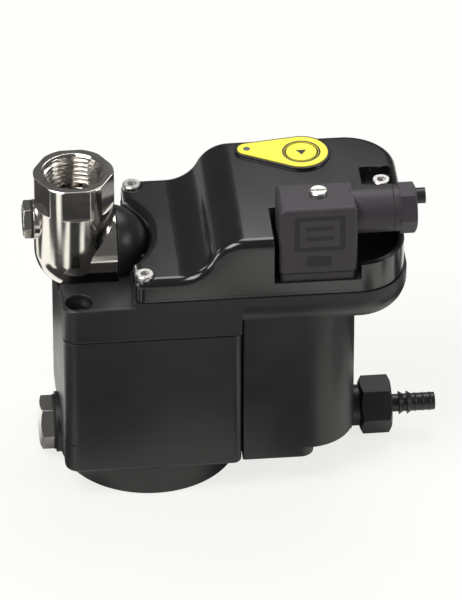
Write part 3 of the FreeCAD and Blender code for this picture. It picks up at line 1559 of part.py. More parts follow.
def make_gland():
    left = GLAND_RIGHT + size.ring_play * 2
    spot = (left, -CONNECTOR_SCREW_SIDE, GLAND_HEIGHT, ALONG_X)
    length = (GLAND_RIGHT + size.gland_nut_length + size.ring_play * 2) - left
    corner = size.gland_nut_across / ROOT3
    nut = new_body("gland_nut")
    collar = sketch(nut, "gland_nut_collar", "XZ_Plane")
    draw(collar, ring_path(size.gland_thread + size.running_gap, size.gland_radius, NOTHING,
                           size.gland_nut_collar))
    spin("PartDesign::Revolution", nut, collar)
    across = sketch(nut, "gland_nut_across", "XY_Plane", size.gland_nut_collar)
    draw(across, hexagon_path(size.gland_nut_across, True))
    circle(across, 0, 0, size.cable_radius)
    pad(nut, across, length - size.gland_nut_collar)
    chamfer_hexagon(nut, "gland_nut_edge", size.gland_nut_across, length)
    room = sketch(nut, "gland_nut_room", "XY_Plane", size.gland_nut_collar)
    circle(room, 0, 0, size.gland_thread + size.running_gap)
    pocket(nut, room, size.gland_thread_length - size.gland_nut_collar + size.face_gap,
           backwards=True)
    place(nut, *spot)
    turned("gland_seal", ring_path(size.cable_radius - size.thread_chamfer,
                                   size.gland_bore - size.face_gap,
                                   -size.gland_bore, size.gland_thread_length - size.face_gap), *spot)


# Outlet

def make_outlet():
    axis = (NOTHING, size.outlet_height, ALONG_X)
    middle = size.outlet_boss_right - SHANK_LENGTH / 2
    path = [(size.outlet_bore, size.outlet_boss_right - SHANK_LENGTH),
            (size.adaptor_shank, size.outlet_boss_right - SHANK_LENGTH)]
    path += ring_groove(size.adaptor_shank, middle)
    path += [
        (size.adaptor_shank, size.outlet_boss_right),
        (size.adaptor_collar, size.outlet_boss_right),
        (size.adaptor_collar, size.collar_right - size.face_gap),
        (size.adaptor_thread, size.collar_right - size.face_gap),
        (size.adaptor_thread, size.adaptor_right),
        (size.outlet_bore, size.adaptor_right),
    ]
    turned("outlet_adaptor", path, NOTHING, *axis)
    o_ring("outlet_o_ring", groove_radius(size.adaptor_shank), middle, *axis)
    length = size.union_right - size.collar_right
    room = size.adaptor_thread + size.running_gap
    nut = new_body("union_nut")
    plan = sketch(nut, "union_nut_plan", "XY_Plane")
    draw(plan, hexagon_path(size.union_across, True))
    pad(nut, plan, length)
    chamfer_hexagon(nut, "union_nut_edge", size.union_across, length)
    chamfer_hexagon(nut, "union_nut_back", size.union_across, NOTHING, up=False)
    inside = sketch(nut, "union_nut_inside", "XY_Plane")
    circle(inside, 0, 0, room)
    pocket(nut, inside, length - size.union_lip, backwards=True)
    mouth = sketch(nut, "union_nut_mouth", "XY_Plane", length)
    circle(mouth, 0, 0, size.tail_neck + size.face_gap)
    pocket(nut, mouth, length)
    place(nut, size.collar_right, *axis)


def make_hose_tail():
    """Flange under the nut, two deep barbs, then three shallow ridges."""
    start = size.adaptor_right + size.ring_play
    lip = size.union_right - size.union_lip - size.ring_play
    path = [(size.tail_bore, start), (size.tail_flange, start), (size.tail_flange, lip),
            (size.tail_neck, lip)]
    span = size.tail_right - size.union_right
    for share, crest in ((0.19, size.tail_barb), (0.37, size.tail_barb), (0.55, size.tail_ridge),
                         (0.72, size.tail_ridge), (0.88, size.tail_ridge)):
        at = size.union_right + span * share
        slope = (crest - size.tail_neck) * 1.5
        path += [(size.tail_neck, at - size.ring_play), (crest, at), (size.tail_neck, at + slope)]
    path += [
        (size.tail_neck, size.tail_right - size.face_gap),
        (size.tail_neck - size.face_gap, size.tail_right),
        (size.tail_bore, size.tail_right),
    ]
    turned("hose_tail", path, NOTHING, NOTHING, size.outlet_height, ALONG_X)


def make_end_plug():
    """Small hexagon with a stub, closing the second cable entry."""
    body = new_body("end_plug")
    plan = sketch(body, "end_plug_hexagon", "XY_Plane")
    draw(plan, hexagon_path(size.end_plug_across, True))
    pad(body, plan, size.end_plug_head)
    chamfer_hexagon(body, "end_plug_edge", size.end_plug_across, size.end_plug_head)
    stub = sketch(body, "end_plug_stub", "XY_Plane", size.end_plug_head)
    circle(stub, 0, 0, size.end_plug_stub)
    pad(body, stub, size.end_plug_reach - size.end_plug_head)
    shank = sketch(body, "end_plug_shank", "XY_Plane")
    circle(shank, 0, 0, size.end_plug_stub - size.face_gap - size.running_gap)
    pad(body, shank, size.end_plug_grip, backwards=True)
    place(body, size.cover_right, size.end_plug_side, END_PLUG_HEIGHT, ALONG_X)


NODES = [
    "container", "container_gasket", "lower_plug", "lower_plug_washer", "head", "body_screws",
    "inlet_elbow", "elbow_o_ring", "elbow_retaining_ring", "vent_plug", "vent_plug_washer",
    "riser_pipe", "sensor_tube", "sensor_o_ring", "diaphragm", "valve_disc", "diaphragm_spring",
    "valve_cap", "valve_cap_screws", "core_tube", "solenoid_coil", "coil_yoke", "coil_nut",
    "pilot_plunger", "plunger_spring", "cover", "cover_gasket", "cover_screws", "label",
    "test_button", "button_spring", "light_guide", "circuit_board", "board_parts", "board_posts",
    "board_screws", "connector_base", "connector_pins", "connector_gasket", "terminal_insert",
    "connector_housing", "connector_screw", "gland_nut", "gland_seal", "end_plug",
    "outlet_adaptor", "outlet_o_ring", "union_nut", "hose_tail",
]


def check_model():
    """Stop before anything is written if a feature failed or a cut removed nothing."""
    for item in doc.Objects:
        if "Invalid" in item.State or "Error" in item.State:
            raise RuntimeError(f"{item.Name} failed: {item.State}")
        if item.TypeId in ("PartDesign::Pocket", "PartDesign::Groove"):
            removed = item.BaseFeature.Shape.Volume - item.Shape.Volume
            if removed < 1e-3:
                raise RuntimeError(f"{item.Name} cuts nothing")
    for name in NODES:
        shape = doc.getObjectsByLabel(name)[0].Shape
        if shape.isNull() or not shape.isValid() or not shape.Solids:
            raise RuntimeError(f"{name} has no valid solid")


def main():
    make_container()
    make_container_gasket()
    make_lower_plug()
    make_head()
    make_body_screws()
    make_elbow()
    make_elbow_fittings()
    make_riser()
    make_sensor()
    make_diaphragm()
    make_valve_disc()
    make_valve_cap()
    make_solenoid()
    make_plunger()
    make_cover()
    make_cover_gasket()
    make_cover_screws()
    make_label()
    make_button()
    make_light_guide()
    make_board()
    make_board_parts()
    make_connector_base()
    make_terminal_insert()
    make_connector_housing()
    make_connector_screw()
    make_gland()
    make_outlet()
    make_hose_tail()
    make_end_plug()
    doc.recompute()
    check_model()
    os.makedirs("parts", exist_ok=True)
    for name in NODES:
        doc.getObjectsByLabel(name)[0].Shape.exportStep(f"parts/{name}.step")


main()
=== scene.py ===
"""Condensate drain: finishes, small trim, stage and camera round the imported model."""

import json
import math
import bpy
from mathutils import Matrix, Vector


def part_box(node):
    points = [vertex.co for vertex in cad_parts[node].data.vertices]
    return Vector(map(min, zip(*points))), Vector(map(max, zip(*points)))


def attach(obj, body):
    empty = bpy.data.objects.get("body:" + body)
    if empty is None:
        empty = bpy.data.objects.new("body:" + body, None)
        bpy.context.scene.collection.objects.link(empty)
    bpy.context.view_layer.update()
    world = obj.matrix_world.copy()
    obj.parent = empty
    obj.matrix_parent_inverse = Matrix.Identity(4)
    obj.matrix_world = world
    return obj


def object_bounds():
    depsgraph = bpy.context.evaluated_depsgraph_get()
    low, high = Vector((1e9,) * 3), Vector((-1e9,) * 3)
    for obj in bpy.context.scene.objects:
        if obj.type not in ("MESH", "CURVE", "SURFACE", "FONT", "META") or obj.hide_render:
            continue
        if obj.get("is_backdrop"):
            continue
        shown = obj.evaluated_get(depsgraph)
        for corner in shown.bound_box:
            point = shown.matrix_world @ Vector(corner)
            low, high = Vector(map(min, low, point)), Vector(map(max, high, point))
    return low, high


bl_info = {
    "name": "Condensate Drain",
    "version": (1, 0, 0),
    "blender": (4, 5, 0),
    "location": "View3D > Sidebar > Drain",
    "description": "Dresses an automatic condensate drain and sets up its studio",
    "category": "Object",
}

import bmesh
import bpy
from bpy.props import FloatProperty, FloatVectorProperty, IntProperty, PointerProperty
from bpy.types import Operator, Panel, PropertyGroup
from mathutils import Vector

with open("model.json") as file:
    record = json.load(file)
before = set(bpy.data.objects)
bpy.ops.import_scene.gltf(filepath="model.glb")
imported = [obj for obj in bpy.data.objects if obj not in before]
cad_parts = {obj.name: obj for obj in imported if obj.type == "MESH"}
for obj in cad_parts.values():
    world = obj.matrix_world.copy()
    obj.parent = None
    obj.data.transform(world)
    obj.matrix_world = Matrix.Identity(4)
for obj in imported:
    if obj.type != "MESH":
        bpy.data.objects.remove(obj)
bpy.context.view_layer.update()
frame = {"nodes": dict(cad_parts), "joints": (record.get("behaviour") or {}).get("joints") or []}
NODES = frame["nodes"]
JOINTS = {joint["name"]: joint for joint in frame["joints"]}
MM = 0.001

ELBOW_AXIS = Vector(JOINTS["elbow_swivel"]["pos_m"])


def middle(node):
    """Middle of a node's box at rest."""
    low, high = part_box(node)
    return (low + high) / 2


# Sizes and colours

def length(name, value, text):
    return FloatProperty(name=name, description=text, default=value, unit="LENGTH", precision=5)


def colour(name, value, text):
    return FloatVectorProperty(name=name, description=text, default=value, size=4,
                               min=0, max=1, subtype="COLOR")


class DrainSizes(PropertyGroup):
    thread_pitch: length("Thread pitch", 1.814 * MM, "Rise of one turn of the inlet thread")
    thread_height: length("Thread height", 1.05 * MM, "How far a turn stands in from the wall")
    thread_depth: length("Threaded depth", 13.6 * MM, "Length of the inlet's thread")
    thread_radius: length("Thread radius", 10.48 * MM, "Radius of the inlet's wall")
    ring_width: length("Ring width", 0.65 * MM, "Width of the ring printed round the button")
    ring_reach: length("Ring reach", 6.9 * MM, "Outer radius of the ring printed round the button")
    ink: length("Ink", 0.04 * MM, "Height of print over the label")
    raised: length("Raised panel", 0.08 * MM, "How far a moulded panel stands out")
    lip: length("Cover lip", 1.0 * MM, "Height of the bead over the cover's foot")
    bead: length("Parting bead", 0.12 * MM, "Radius of the bead along a mould's parting line")
    sunk: length("Bead depth", 0.09 * MM, "How deep a bead's middle lies under its surface")
    round_steps: IntProperty(name="Round steps", description="Facets of a full circle",
                             default=64, min=16, max=256)


class DrainColours(PropertyGroup):
    casting: colour("Casting", (0.0125, 0.0115, 0.0118, 1), "Painted aluminium castings")
    hood: colour("Hood", (0.008, 0.0075, 0.0078, 1), "Glossy cover")
    connector: colour("Connector", (0.030, 0.025, 0.031, 1), "Plug-in connector")
    panel: colour("Panel", (0.017, 0.0145, 0.0175, 1), "Moulded panels on the connector")
    nylon: colour("Nylon", (0.014, 0.0125, 0.014, 1), "Nuts and hose tail")
    rubber: colour("Rubber", (0.012, 0.012, 0.012, 1), "Seals")
    nickel: colour("Nickel", (0.80, 0.77, 0.72, 1), "Plated brass")
    zinc: colour("Zinc", (0.74, 0.73, 0.70, 1), "Plated screws")
    steel: colour("Steel", (0.60, 0.60, 0.59, 1), "Bare steel")
    brass: colour("Brass", (0.72, 0.52, 0.22, 1), "Bare brass")
    label: colour("Label", (0.93, 0.80, 0.06, 1), "Printed label")
    ink: colour("Ink", (0.02, 0.02, 0.02, 1), "Print")
    board: colour("Board", (0.02, 0.13, 0.05, 1), "Circuit board lacquer")
    floor: colour("Floor", (0.90, 0.90, 0.885, 1), "Studio floor")


def sizes():
    return bpy.context.scene.drain_sizes


def colours():
    return bpy.context.scene.drain_colours


# Shader node groups shared by the materials

EDGE_SAMPLES = 6
COAT_ROUGHNESS = 0.08
MARK_DEPTH = 0.02 * MM

def socket(group, name, way, kind, value=None):
    item = group.interface.new_socket(name=name, in_out=way, socket_type=kind)
    if value is not None:
        item.default_value = value
    return item


def sway_roughness(group, enter, leave, noise):
    """Let a noise sway the group's Roughness about its middle by up to half its Spread."""
    nodes, links = group.nodes, group.links
    centre = nodes.new("ShaderNodeMath")
    centre.operation = "SUBTRACT"
    centre.inputs[1].default_value = 0.5
    links.new(noise, centre.inputs[0])
    sway = nodes.new("ShaderNodeMath")
    sway.operation = "MULTIPLY_ADD"
    links.new(centre.outputs[0], sway.inputs[0])
    links.new(enter.outputs["Spread"], sway.inputs[1])
    links.new(enter.outputs["Roughness"], sway.inputs[2])
    links.new(sway.outputs[0], leave.inputs["Roughness"])


def grain_group():
    """Fine texture of a cast or moulded skin: colour, roughness and height that vary."""
    found = bpy.data.node_groups.get("Skin Grain")
    if found:
        return found
    group = bpy.data.node_groups.new("Skin Grain", "ShaderNodeTree")
    socket(group, "Colour", "INPUT", "NodeSocketColor")
    socket(group, "Lift", "INPUT", "NodeSocketFloat", 0.3)
    socket(group, "Roughness", "INPUT", "NodeSocketFloat", 0.4)
    socket(group, "Spread", "INPUT", "NodeSocketFloat", 0.08)
    socket(group, "Grain", "INPUT", "NodeSocketFloat", 1500.0)
    socket(group, "Colour", "OUTPUT", "NodeSocketColor")
    socket(group, "Roughness", "OUTPUT", "NodeSocketFloat")
    socket(group, "Height", "OUTPUT", "NodeSocketFloat")
    nodes, links = group.nodes, group.links
    enter = nodes.new("NodeGroupInput")
    leave = nodes.new("NodeGroupOutput")
    place = nodes.new("ShaderNodeTexCoord")
    fine = nodes.new("ShaderNodeTexNoise")
    fine.inputs["Detail"].default_value = 3
    links.new(place.outputs["Object"], fine.inputs["Vector"])
    links.new(enter.outputs["Grain"], fine.inputs["Scale"])
    broad = nodes.new("ShaderNodeTexNoise")
    broad.inputs["Scale"].default_value = 90
    broad.inputs["Detail"].default_value = 4
    links.new(place.outputs["Object"], broad.inputs["Vector"])
    lift = nodes.new("ShaderNodeMath")
    lift.operation = "MULTIPLY"
    links.new(broad.outputs["Fac"], lift.inputs[0])
    links.new(enter.outputs["Lift"], lift.inputs[1])
    tint = nodes.new("ShaderNodeMix")
    tint.data_type = "RGBA"
    tint.blend_type = "SCREEN"
    links.new(lift.outputs[0], tint.inputs["Factor"])
    links.new(enter.outputs["Colour"], tint.inputs["A"])
    links.new(enter.outputs["Colour"], tint.inputs["B"])
    links.new(tint.outputs["Result"], leave.inputs["Colour"])
    sway_roughness(group, enter, leave, broad.outputs["Fac"])
    links.new(fine.outputs["Fac"], leave.inputs["Height"])
    return group


def marks_group():
    """Fine tool marks of a turned, ground or plated part."""
    found = bpy.data.node_groups.get("Tool Marks")
    if found:
        return found
    group = bpy.data.node_groups.new("Tool Marks", "ShaderNodeTree")
    socket(group, "Roughness", "INPUT", "NodeSocketFloat", 0.2)
    socket(group, "Spread", "INPUT", "NodeSocketFloat", 0.1)
    socket(group, "Stretch", "INPUT", "NodeSocketVector", (60.0, 60.0, 4000.0))
    socket(group, "Roughness", "OUTPUT", "NodeSocketFloat")
    socket(group, "Height", "OUTPUT", "NodeSocketFloat")
    nodes, links = group.nodes, group.links
    enter = nodes.new("NodeGroupInput")
    leave = nodes.new("NodeGroupOutput")
    place = nodes.new("ShaderNodeTexCoord")
    stretch = nodes.new("ShaderNodeMapping")
    links.new(place.outputs["Object"], stretch.inputs["Vector"])
    links.new(enter.outputs["Stretch"], stretch.inputs["Scale"])
    lines = nodes.new("ShaderNodeTexNoise")
    lines.inputs["Scale"].default_value = 1
    lines.inputs["Detail"].default_value = 2
    links.new(stretch.outputs["Vector"], lines.inputs["Vector"])
    sway_roughness(group, enter, leave, lines.outputs["Fac"])
    links.new(lines.outputs["Fac"], leave.inputs["Height"])
    return group


def place_group(material, group, **values):
    """Put a shared group into a material and set its inputs by name."""
    item = material.node_tree.nodes.new("ShaderNodeGroup")
    item.node_tree = group
    for name, value in values.items():
        item.inputs[name].default_value = value
    return item


def new_material(name):
    """A fresh material and its shader."""
    material = bpy.data.materials.new(name)
    material.use_nodes = True
    shader = material.node_tree.nodes["Principled BSDF"]
    return material, shader


def raise_surface(material, shader, height, strength, distance, edge_radius):
    """Bump the shader's normal by a height, over edges that roll by a small radius."""
    nodes, links = material.node_tree.nodes, material.node_tree.links
    bump = nodes.new("ShaderNodeBump")
    bump.inputs["Strength"].default_value = strength
    bump.inputs["Distance"].default_value = distance
    links.new(height, bump.inputs["Height"])
    edge = nodes.new("ShaderNodeBevel")
    edge.samples = EDGE_SAMPLES
    edge.inputs["Radius"].default_value = edge_radius
    links.new(edge.outputs["Normal"], bump.inputs["Normal"])
    links.new(bump.outputs["Normal"], shader.inputs["Normal"])


def skin(name, colour_value, roughness, spread=0.08, lift=0.3, grain=1500.0, strength=0.15,
         distance=0.05 * MM, edge=0.35 * MM, coat=0.0):
    """Cast, moulded or rubber surface."""
    material, shader = new_material(name)
    links = material.node_tree.links
    texture = place_group(material, grain_group(), Colour=colour_value, Lift=lift,
                          Roughness=roughness, Spread=spread, Grain=grain)
    links.new(texture.outputs["Colour"], shader.inputs["Base Color"])
    links.new(texture.outputs["Roughness"], shader.inputs["Roughness"])
    shader.inputs["Coat Weight"].default_value = coat
    shader.inputs["Coat Roughness"].default_value = COAT_ROUGHNESS
    raise_surface(material, shader, texture.outputs["Height"], strength, distance, edge)
    return material


def metal(name, colour_value, roughness, spread=0.1, stretch=(60.0, 60.0, 4000.0),
          strength=0.05, edge=0.25 * MM):
    """Turned, ground or plated metal."""
    material, shader = new_material(name)
    links = material.node_tree.links
    shader.inputs["Base Color"].default_value = colour_value
    shader.inputs["Metallic"].default_value = 1.0
    texture = place_group(material, marks_group(), Roughness=roughness, Spread=spread,
                          Stretch=stretch)
    links.new(texture.outputs["Roughness"], shader.inputs["Roughness"])
    raise_surface(material, shader, texture.outputs["Height"], strength, MARK_DEPTH, edge)
    return material


def casting_material():
    return skin("Casting Black", colours().casting, 0.36, spread=0.16, lift=0.5, grain=2600.0,
                strength=0.30, distance=0.05 * MM, edge=0.8 * MM)


def hood_material():
    return skin("Hood Gloss", colours().hood, 0.20, spread=0.10, lift=0.25, grain=900.0,
                strength=0.05, distance=0.03 * MM, edge=0.5 * MM, coat=0.6)


def connector_material():
    return skin("Connector Plastic", colours().connector, 0.50, spread=0.1, lift=0.4,
                grain=3500.0, strength=0.3, distance=0.03 * MM, edge=0.35 * MM)


def panel_material():
    return skin("Connector Panel", colours().panel, 0.62, spread=0.1, lift=0.3, grain=3500.0,
                strength=0.3, distance=0.03 * MM, edge=0.1 * MM)


def nylon_material():
    return skin("Nylon Black", colours().nylon, 0.36, spread=0.12, grain=2500.0, strength=0.12,
                edge=0.3 * MM)


def rubber_material():
    return skin("Rubber Black", colours().rubber, 0.7, spread=0.1, grain=2500.0, strength=0.2,
                edge=0.1 * MM)


def nickel_material():
    return metal("Nickel Plate", colours().nickel, 0.11, spread=0.08,
                 stretch=(180.0, 180.0, 700.0), strength=0.06, edge=0.4 * MM)


def zinc_material():
    return metal("Zinc Plate", colours().zinc, 0.28, spread=0.14, stretch=(900.0, 900.0, 900.0),
                 strength=0.08, edge=0.15 * MM)


def steel_material():
    return metal("Turned Steel", colours().steel, 0.30)


def brass_material():
    return metal("Turned Brass", colours().brass, 0.28)


def label_material():
    return skin("Label Film", colours().label, 0.32, spread=0.06, lift=0.02, grain=1200.0,
                strength=0.03, edge=0.1 * MM)


def ink_material():
    return skin("Print Ink", colours().ink, 0.45, spread=0.05, grain=2000.0, strength=0.05,
                edge=0.02 * MM)


def probe_material():
    return skin("Probe Polymer", (0.80, 0.79, 0.75, 1), 0.4, lift=0.05, grain=2000.0)


def coil_material():
    return skin("Coil Resin", (0.03, 0.03, 0.035, 1), 0.3, lift=0.3, grain=800.0)


def clear_material():
    material, shader = new_material("Light Guide")
    shader.inputs["Base Color"].default_value = (0.9, 0.95, 0.9, 1)
    shader.inputs["Roughness"].default_value = 0.08
    shader.inputs["Transmission Weight"].default_value = 0.85
    texture = place_group(material, grain_group(), Grain=1500.0)
    raise_surface(material, shader, texture.outputs["Height"], 0.03, 0.02 * MM, 0.1 * MM)
    return material


def board_material():
    """Lacquered board with copper tracks that run square to its edges."""
    material, shader = new_material("Board Lacquer")
    nodes, links = material.node_tree.nodes, material.node_tree.links
    place = nodes.new("ShaderNodeTexCoord")
    tracks = nodes.new("ShaderNodeTexBrick")
    tracks.inputs["Scale"].default_value = 260
    tracks.inputs["Mortar Size"].default_value = 0.035
    green = tuple(colours().board)
    tracks.inputs["Color1"].default_value = green
    tracks.inputs["Color2"].default_value = tuple(part * 1.25 for part in green[:3]) + (1,)
    tracks.inputs["Mortar"].default_value = (0.10, 0.30, 0.10, 1)
    links.new(place.outputs["Object"], tracks.inputs["Vector"])
    links.new(tracks.outputs["Color"], shader.inputs["Base Color"])
    shader.inputs["Roughness"].default_value = 0.3
    raise_surface(material, shader, tracks.outputs["Fac"], 0.2, 0.03 * MM, 0.1 * MM)
    return material


# Which finish each node of the model gets

FINISHES = {
    casting_material: ["container", "head"],
    hood_material: ["cover"],
    connector_material: ["connector_base", "connector_housing", "gland_nut"],
    nylon_material: ["end_plug", "outlet_adaptor", "union_nut", "hose_tail", "riser_pipe",
                     "board_parts", "board_posts", "terminal_insert"],
    rubber_material: ["container_gasket", "elbow_o_ring", "vent_plug_washer", "lower_plug_washer",
                      "sensor_o_ring", "diaphragm", "cover_gasket", "connector_gasket",
                      "gland_seal", "outlet_o_ring"],
    nickel_material: ["inlet_elbow", "vent_plug", "lower_plug"],
    zinc_material: ["body_screws", "cover_screws", "valve_cap_screws", "coil_nut",
                    "board_screws", "connector_screw"],
    steel_material: ["elbow_retaining_ring", "diaphragm_spring", "core_tube", "coil_yoke",
                     "pilot_plunger", "plunger_spring", "button_spring"],
    brass_material: ["valve_disc", "valve_cap", "connector_pins"],
    label_material: ["label", "test_button"],
    probe_material: ["sensor_tube"],
    coil_material: ["solenoid_coil"],
    clear_material: ["light_guide"],
    board_material: ["circuit_board"],
}
MADE = {}


def finish(make):
    """Each finish is made once and shared."""
    if make not in MADE:
        MADE[make] = make()
    return MADE[make]


# Meshes

def add_piece(name, mesh, make, body):
    """Link a finished mesh, give it its material and let it ride on a body."""
    item = bpy.data.objects.new(name, mesh)
    bpy.context.scene.collection.objects.link(item)
    mesh.materials.clear()
    mesh.materials.append(finish(make))
    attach(item, body)
    return item


def mesh_of(name, build):
    """Run a bmesh builder, turn its faces outwards and return the mesh."""
    work = bmesh.new()
    build(work)
    bmesh.ops.remove_doubles(work, verts=work.verts, dist=1e-6)
    bmesh.ops.recalc_face_normals(work, faces=work.faces)
    mesh = bpy.data.meshes.new(name)
    work.to_mesh(mesh)
    work.free()
    return mesh


def prism(work, outline, low, high, to_point):
    """Close a solid between two copies of an outline; to_point turns (u, v, w) into a place."""
    bottom = [work.verts.new(to_point(u, v, low)) for u, v in outline]
    top = [work.verts.new(to_point(u, v, high)) for u, v in outline]
    work.faces.new(bottom)
    work.faces.new(top)
    for index in range(len(outline)):
        after = (index + 1) % len(outline)
        work.faces.new((bottom[index], bottom[after], top[after], top[index]))


def band(work, outer, inner, low, high, to_point):
    """Close a ring-shaped solid between two outlines of as many points."""
    count = len(outer)
    rings = [[work.verts.new(to_point(u, v, level)) for u, v in line]
             for line, level in ((outer, low), (outer, high), (inner, high), (inner, low))]
    for index in range(count):
        after = (index + 1) % count
        for here, there in zip(rings, rings[1:] + rings[:1]):
            work.faces.new((here[index], here[after], there[after], there[index]))


def arc(u, v, radius, start, steps):
    """Points of a quarter circle from an angle in degrees, counterclockwise."""
    angles = [math.radians(start + 90 * step / steps) for step in range(steps + 1)]
    return [(u + radius * math.cos(angle), v + radius * math.sin(angle)) for angle in angles]


def soft_rectangle(u0, u1, v0, v1, radius, steps=6):
    """Outline of a rectangle with round corners."""
    return (arc(u1 - radius, v0 + radius, radius, -90, steps)
            + arc(u1 - radius, v1 - radius, radius, 0, steps)
            + arc(u0 + radius, v1 - radius, radius, 90, steps)
            + arc(u0 + radius, v0 + radius, radius, 180, steps))


def front_point(face):
    """Points on a face that looks along -Y: u is X, v is Z, w stands out."""
    return lambda u, v, w: (u, face - w, v)


def top_point(face):
    """Points on a face that looks along +Z: u is X, v is Y, w stands out."""
    return lambda u, v, w: (u, v, face + w)


def add_bevel(item, width):
    """Round an object's sharp edges."""
    soften = item.modifiers.new("Soft edges", "BEVEL")
    soften.width = width
    soften.segments = 3
    soften.limit_method = "ANGLE"


def settle(item):
    """Turn an object with modifiers into a plain mesh of the same name."""
    graph = bpy.context.evaluated_depsgraph_get()
    mesh = bpy.data.meshes.new_from_object(item.evaluated_get(graph))
    item.modifiers.clear()
    old = item.data
    item.data = mesh
    bpy.data.meshes.remove(old)
    return item


# Geometry node trees

PROFILE_SIDES = 8
TURN_STEPS = 48

def sweep_round(tree, curve, radius, closed_ends):
    """Sweep a round profile along a curve."""
    nodes, links = tree.nodes, tree.links
    profile = nodes.new("GeometryNodeCurvePrimitiveCircle")
    profile.inputs["Resolution"].default_value = PROFILE_SIDES
    links.new(radius, profile.inputs["Radius"])
    sweep = nodes.new("GeometryNodeCurveToMesh")
    sweep.inputs["Fill Caps"].default_value = closed_ends
    links.new(curve, sweep.inputs["Curve"])
    links.new(profile.outputs["Curve"], sweep.inputs["Profile Curve"])
    return sweep.outputs["Mesh"]


def paint_and_leave(tree, enter, leave, geometry):
    """Smooth, realize and paint a tree's geometry, and hand it out."""
    nodes, links = tree.nodes, tree.links
    smooth = nodes.new("GeometryNodeSetShadeSmooth")
    links.new(geometry, smooth.inputs["Geometry"])
    real = nodes.new("GeometryNodeRealizeInstances")
    links.new(smooth.outputs["Geometry"], real.inputs["Geometry"])
    paint = nodes.new("GeometryNodeSetMaterial")
    links.new(real.outputs["Geometry"], paint.inputs["Geometry"])
    links.new(enter.outputs["Finish"], paint.inputs["Material"])
    links.new(paint.outputs["Geometry"], leave.inputs["Geometry"])


def helix_tree():
    """A rounded ridge that winds up a cylinder's wall."""
    tree = bpy.data.node_groups.new("Thread Turns", "GeometryNodeTree")
    socket(tree, "Geometry", "INPUT", "NodeSocketGeometry")
    for name in ("Radius", "Ridge", "Pitch", "Depth"):
        socket(tree, name, "INPUT", "NodeSocketFloat", 0.001)
    socket(tree, "Place", "INPUT", "NodeSocketVector")
    socket(tree, "Finish", "INPUT", "NodeSocketMaterial")
    socket(tree, "Geometry", "OUTPUT", "NodeSocketGeometry")
    nodes, links = tree.nodes, tree.links
    enter = nodes.new("NodeGroupInput")
    leave = nodes.new("NodeGroupOutput")
    turns = nodes.new("ShaderNodeMath")
    turns.operation = "DIVIDE"
    links.new(enter.outputs["Depth"], turns.inputs[0])
    links.new(enter.outputs["Pitch"], turns.inputs[1])
    spiral = nodes.new("GeometryNodeCurveSpiral")
    spiral.inputs["Resolution"].default_value = TURN_STEPS
    links.new(turns.outputs[0], spiral.inputs["Rotations"])
    links.new(enter.outputs["Radius"], spiral.inputs["Start Radius"])
    links.new(enter.outputs["Radius"], spiral.inputs["End Radius"])
    links.new(enter.outputs["Depth"], spiral.inputs["Height"])
    ridge = sweep_round(tree, spiral.outputs["Curve"], enter.outputs["Ridge"], True)
    move = nodes.new("GeometryNodeTransform")
    links.new(ridge, move.inputs["Geometry"])
    links.new(enter.outputs["Place"], move.inputs["Translation"])
    paint_and_leave(tree, enter, leave, move.outputs["Geometry"])
    return tree


def bead_tree():
    """A thin round bead along a wire."""
    tree = bpy.data.node_groups.new("Parting Bead", "GeometryNodeTree")
    socket(tree, "Geometry", "INPUT", "NodeSocketGeometry")
    socket(tree, "Bead", "INPUT", "NodeSocketFloat", 0.0001)
    socket(tree, "Finish", "INPUT", "NodeSocketMaterial")
    socket(tree, "Geometry", "OUTPUT", "NodeSocketGeometry")
    nodes, links = tree.nodes, tree.links
    enter = nodes.new("NodeGroupInput")
    leave = nodes.new("NodeGroupOutput")
    path = nodes.new("GeometryNodeMeshToCurve")
    links.new(enter.outputs["Geometry"], path.inputs["Mesh"])
    ridge = sweep_round(tree, path.outputs["Curve"], enter.outputs["Bead"], False)
    paint_and_leave(tree, enter, leave, ridge)
    return tree


def grow(item, tree, **values):
    """Run a geometry tree on an object with these inputs and keep the plain mesh."""
    modifier = item.modifiers.new(tree.name, "NODES")
    modifier.node_group = tree
    for socket_item in tree.interface.items_tree:
        if socket_item.in_out == "INPUT" and socket_item.name in values:
            modifier[socket_item.identifier] = values[socket_item.name]
    return settle(item)


def grown_piece(name, tree, make, body, slot, mesh=None, **values):
    """Grow a piece with a geometry tree and let it ride on a body."""
    mesh = mesh or bpy.data.meshes.new(name)
    item = bpy.data.objects.new(name, mesh)
    bpy.context.scene.collection.objects.link(item)
    grow(item, tree, Finish=finish(make), **values)
    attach(item, body)
    return item


def wire_mesh(name, points, closed):
    """A wire of edges from point to point."""
    mesh = bpy.data.meshes.new(name)
    count = len(points)
    edges = [(index, (index + 1) % count) for index in range(count if closed else count - 1)]
    mesh.from_pydata(points, edges, [])
    return mesh


# Operators: finishes, trim and stage

class DRAIN_OT_finishes(Operator):
    """Give every piece of the model its finish"""

    bl_idname = "drain.finishes"
    bl_label = "Finishes"

    def execute(self, context):
        for make, names in FINISHES.items():
            for name in names:
                materials = NODES[name].data.materials
                materials.clear()
                materials.append(finish(make))
        return {"FINISHED"}


class DRAIN_OT_inlet_thread(Operator):
    """Wind the pipe thread inside the elbow's mouth"""

    bl_idname = "drain.inlet_thread"
    bl_label = "Inlet thread"

    ridge_share: FloatProperty(name="Ridge in", description="How far a ridge's middle stands in "
                               "from the wall, as a share of its radius", default=0.4)

    def execute(self, context):
        values = sizes()
        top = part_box("inlet_elbow")[1].z - values.thread_height
        ridge = values.thread_height / 2
        grown_piece("inlet_thread", helix_tree(), nickel_material, "elbow", "nickel",
                    Radius=values.thread_radius - ridge * self.ridge_share, Ridge=ridge,
                    Pitch=values.thread_pitch, Depth=values.thread_depth - values.thread_pitch,
                    Place=(ELBOW_AXIS.x, 0, top - values.thread_depth + values.thread_pitch))
        return {"FINISHED"}


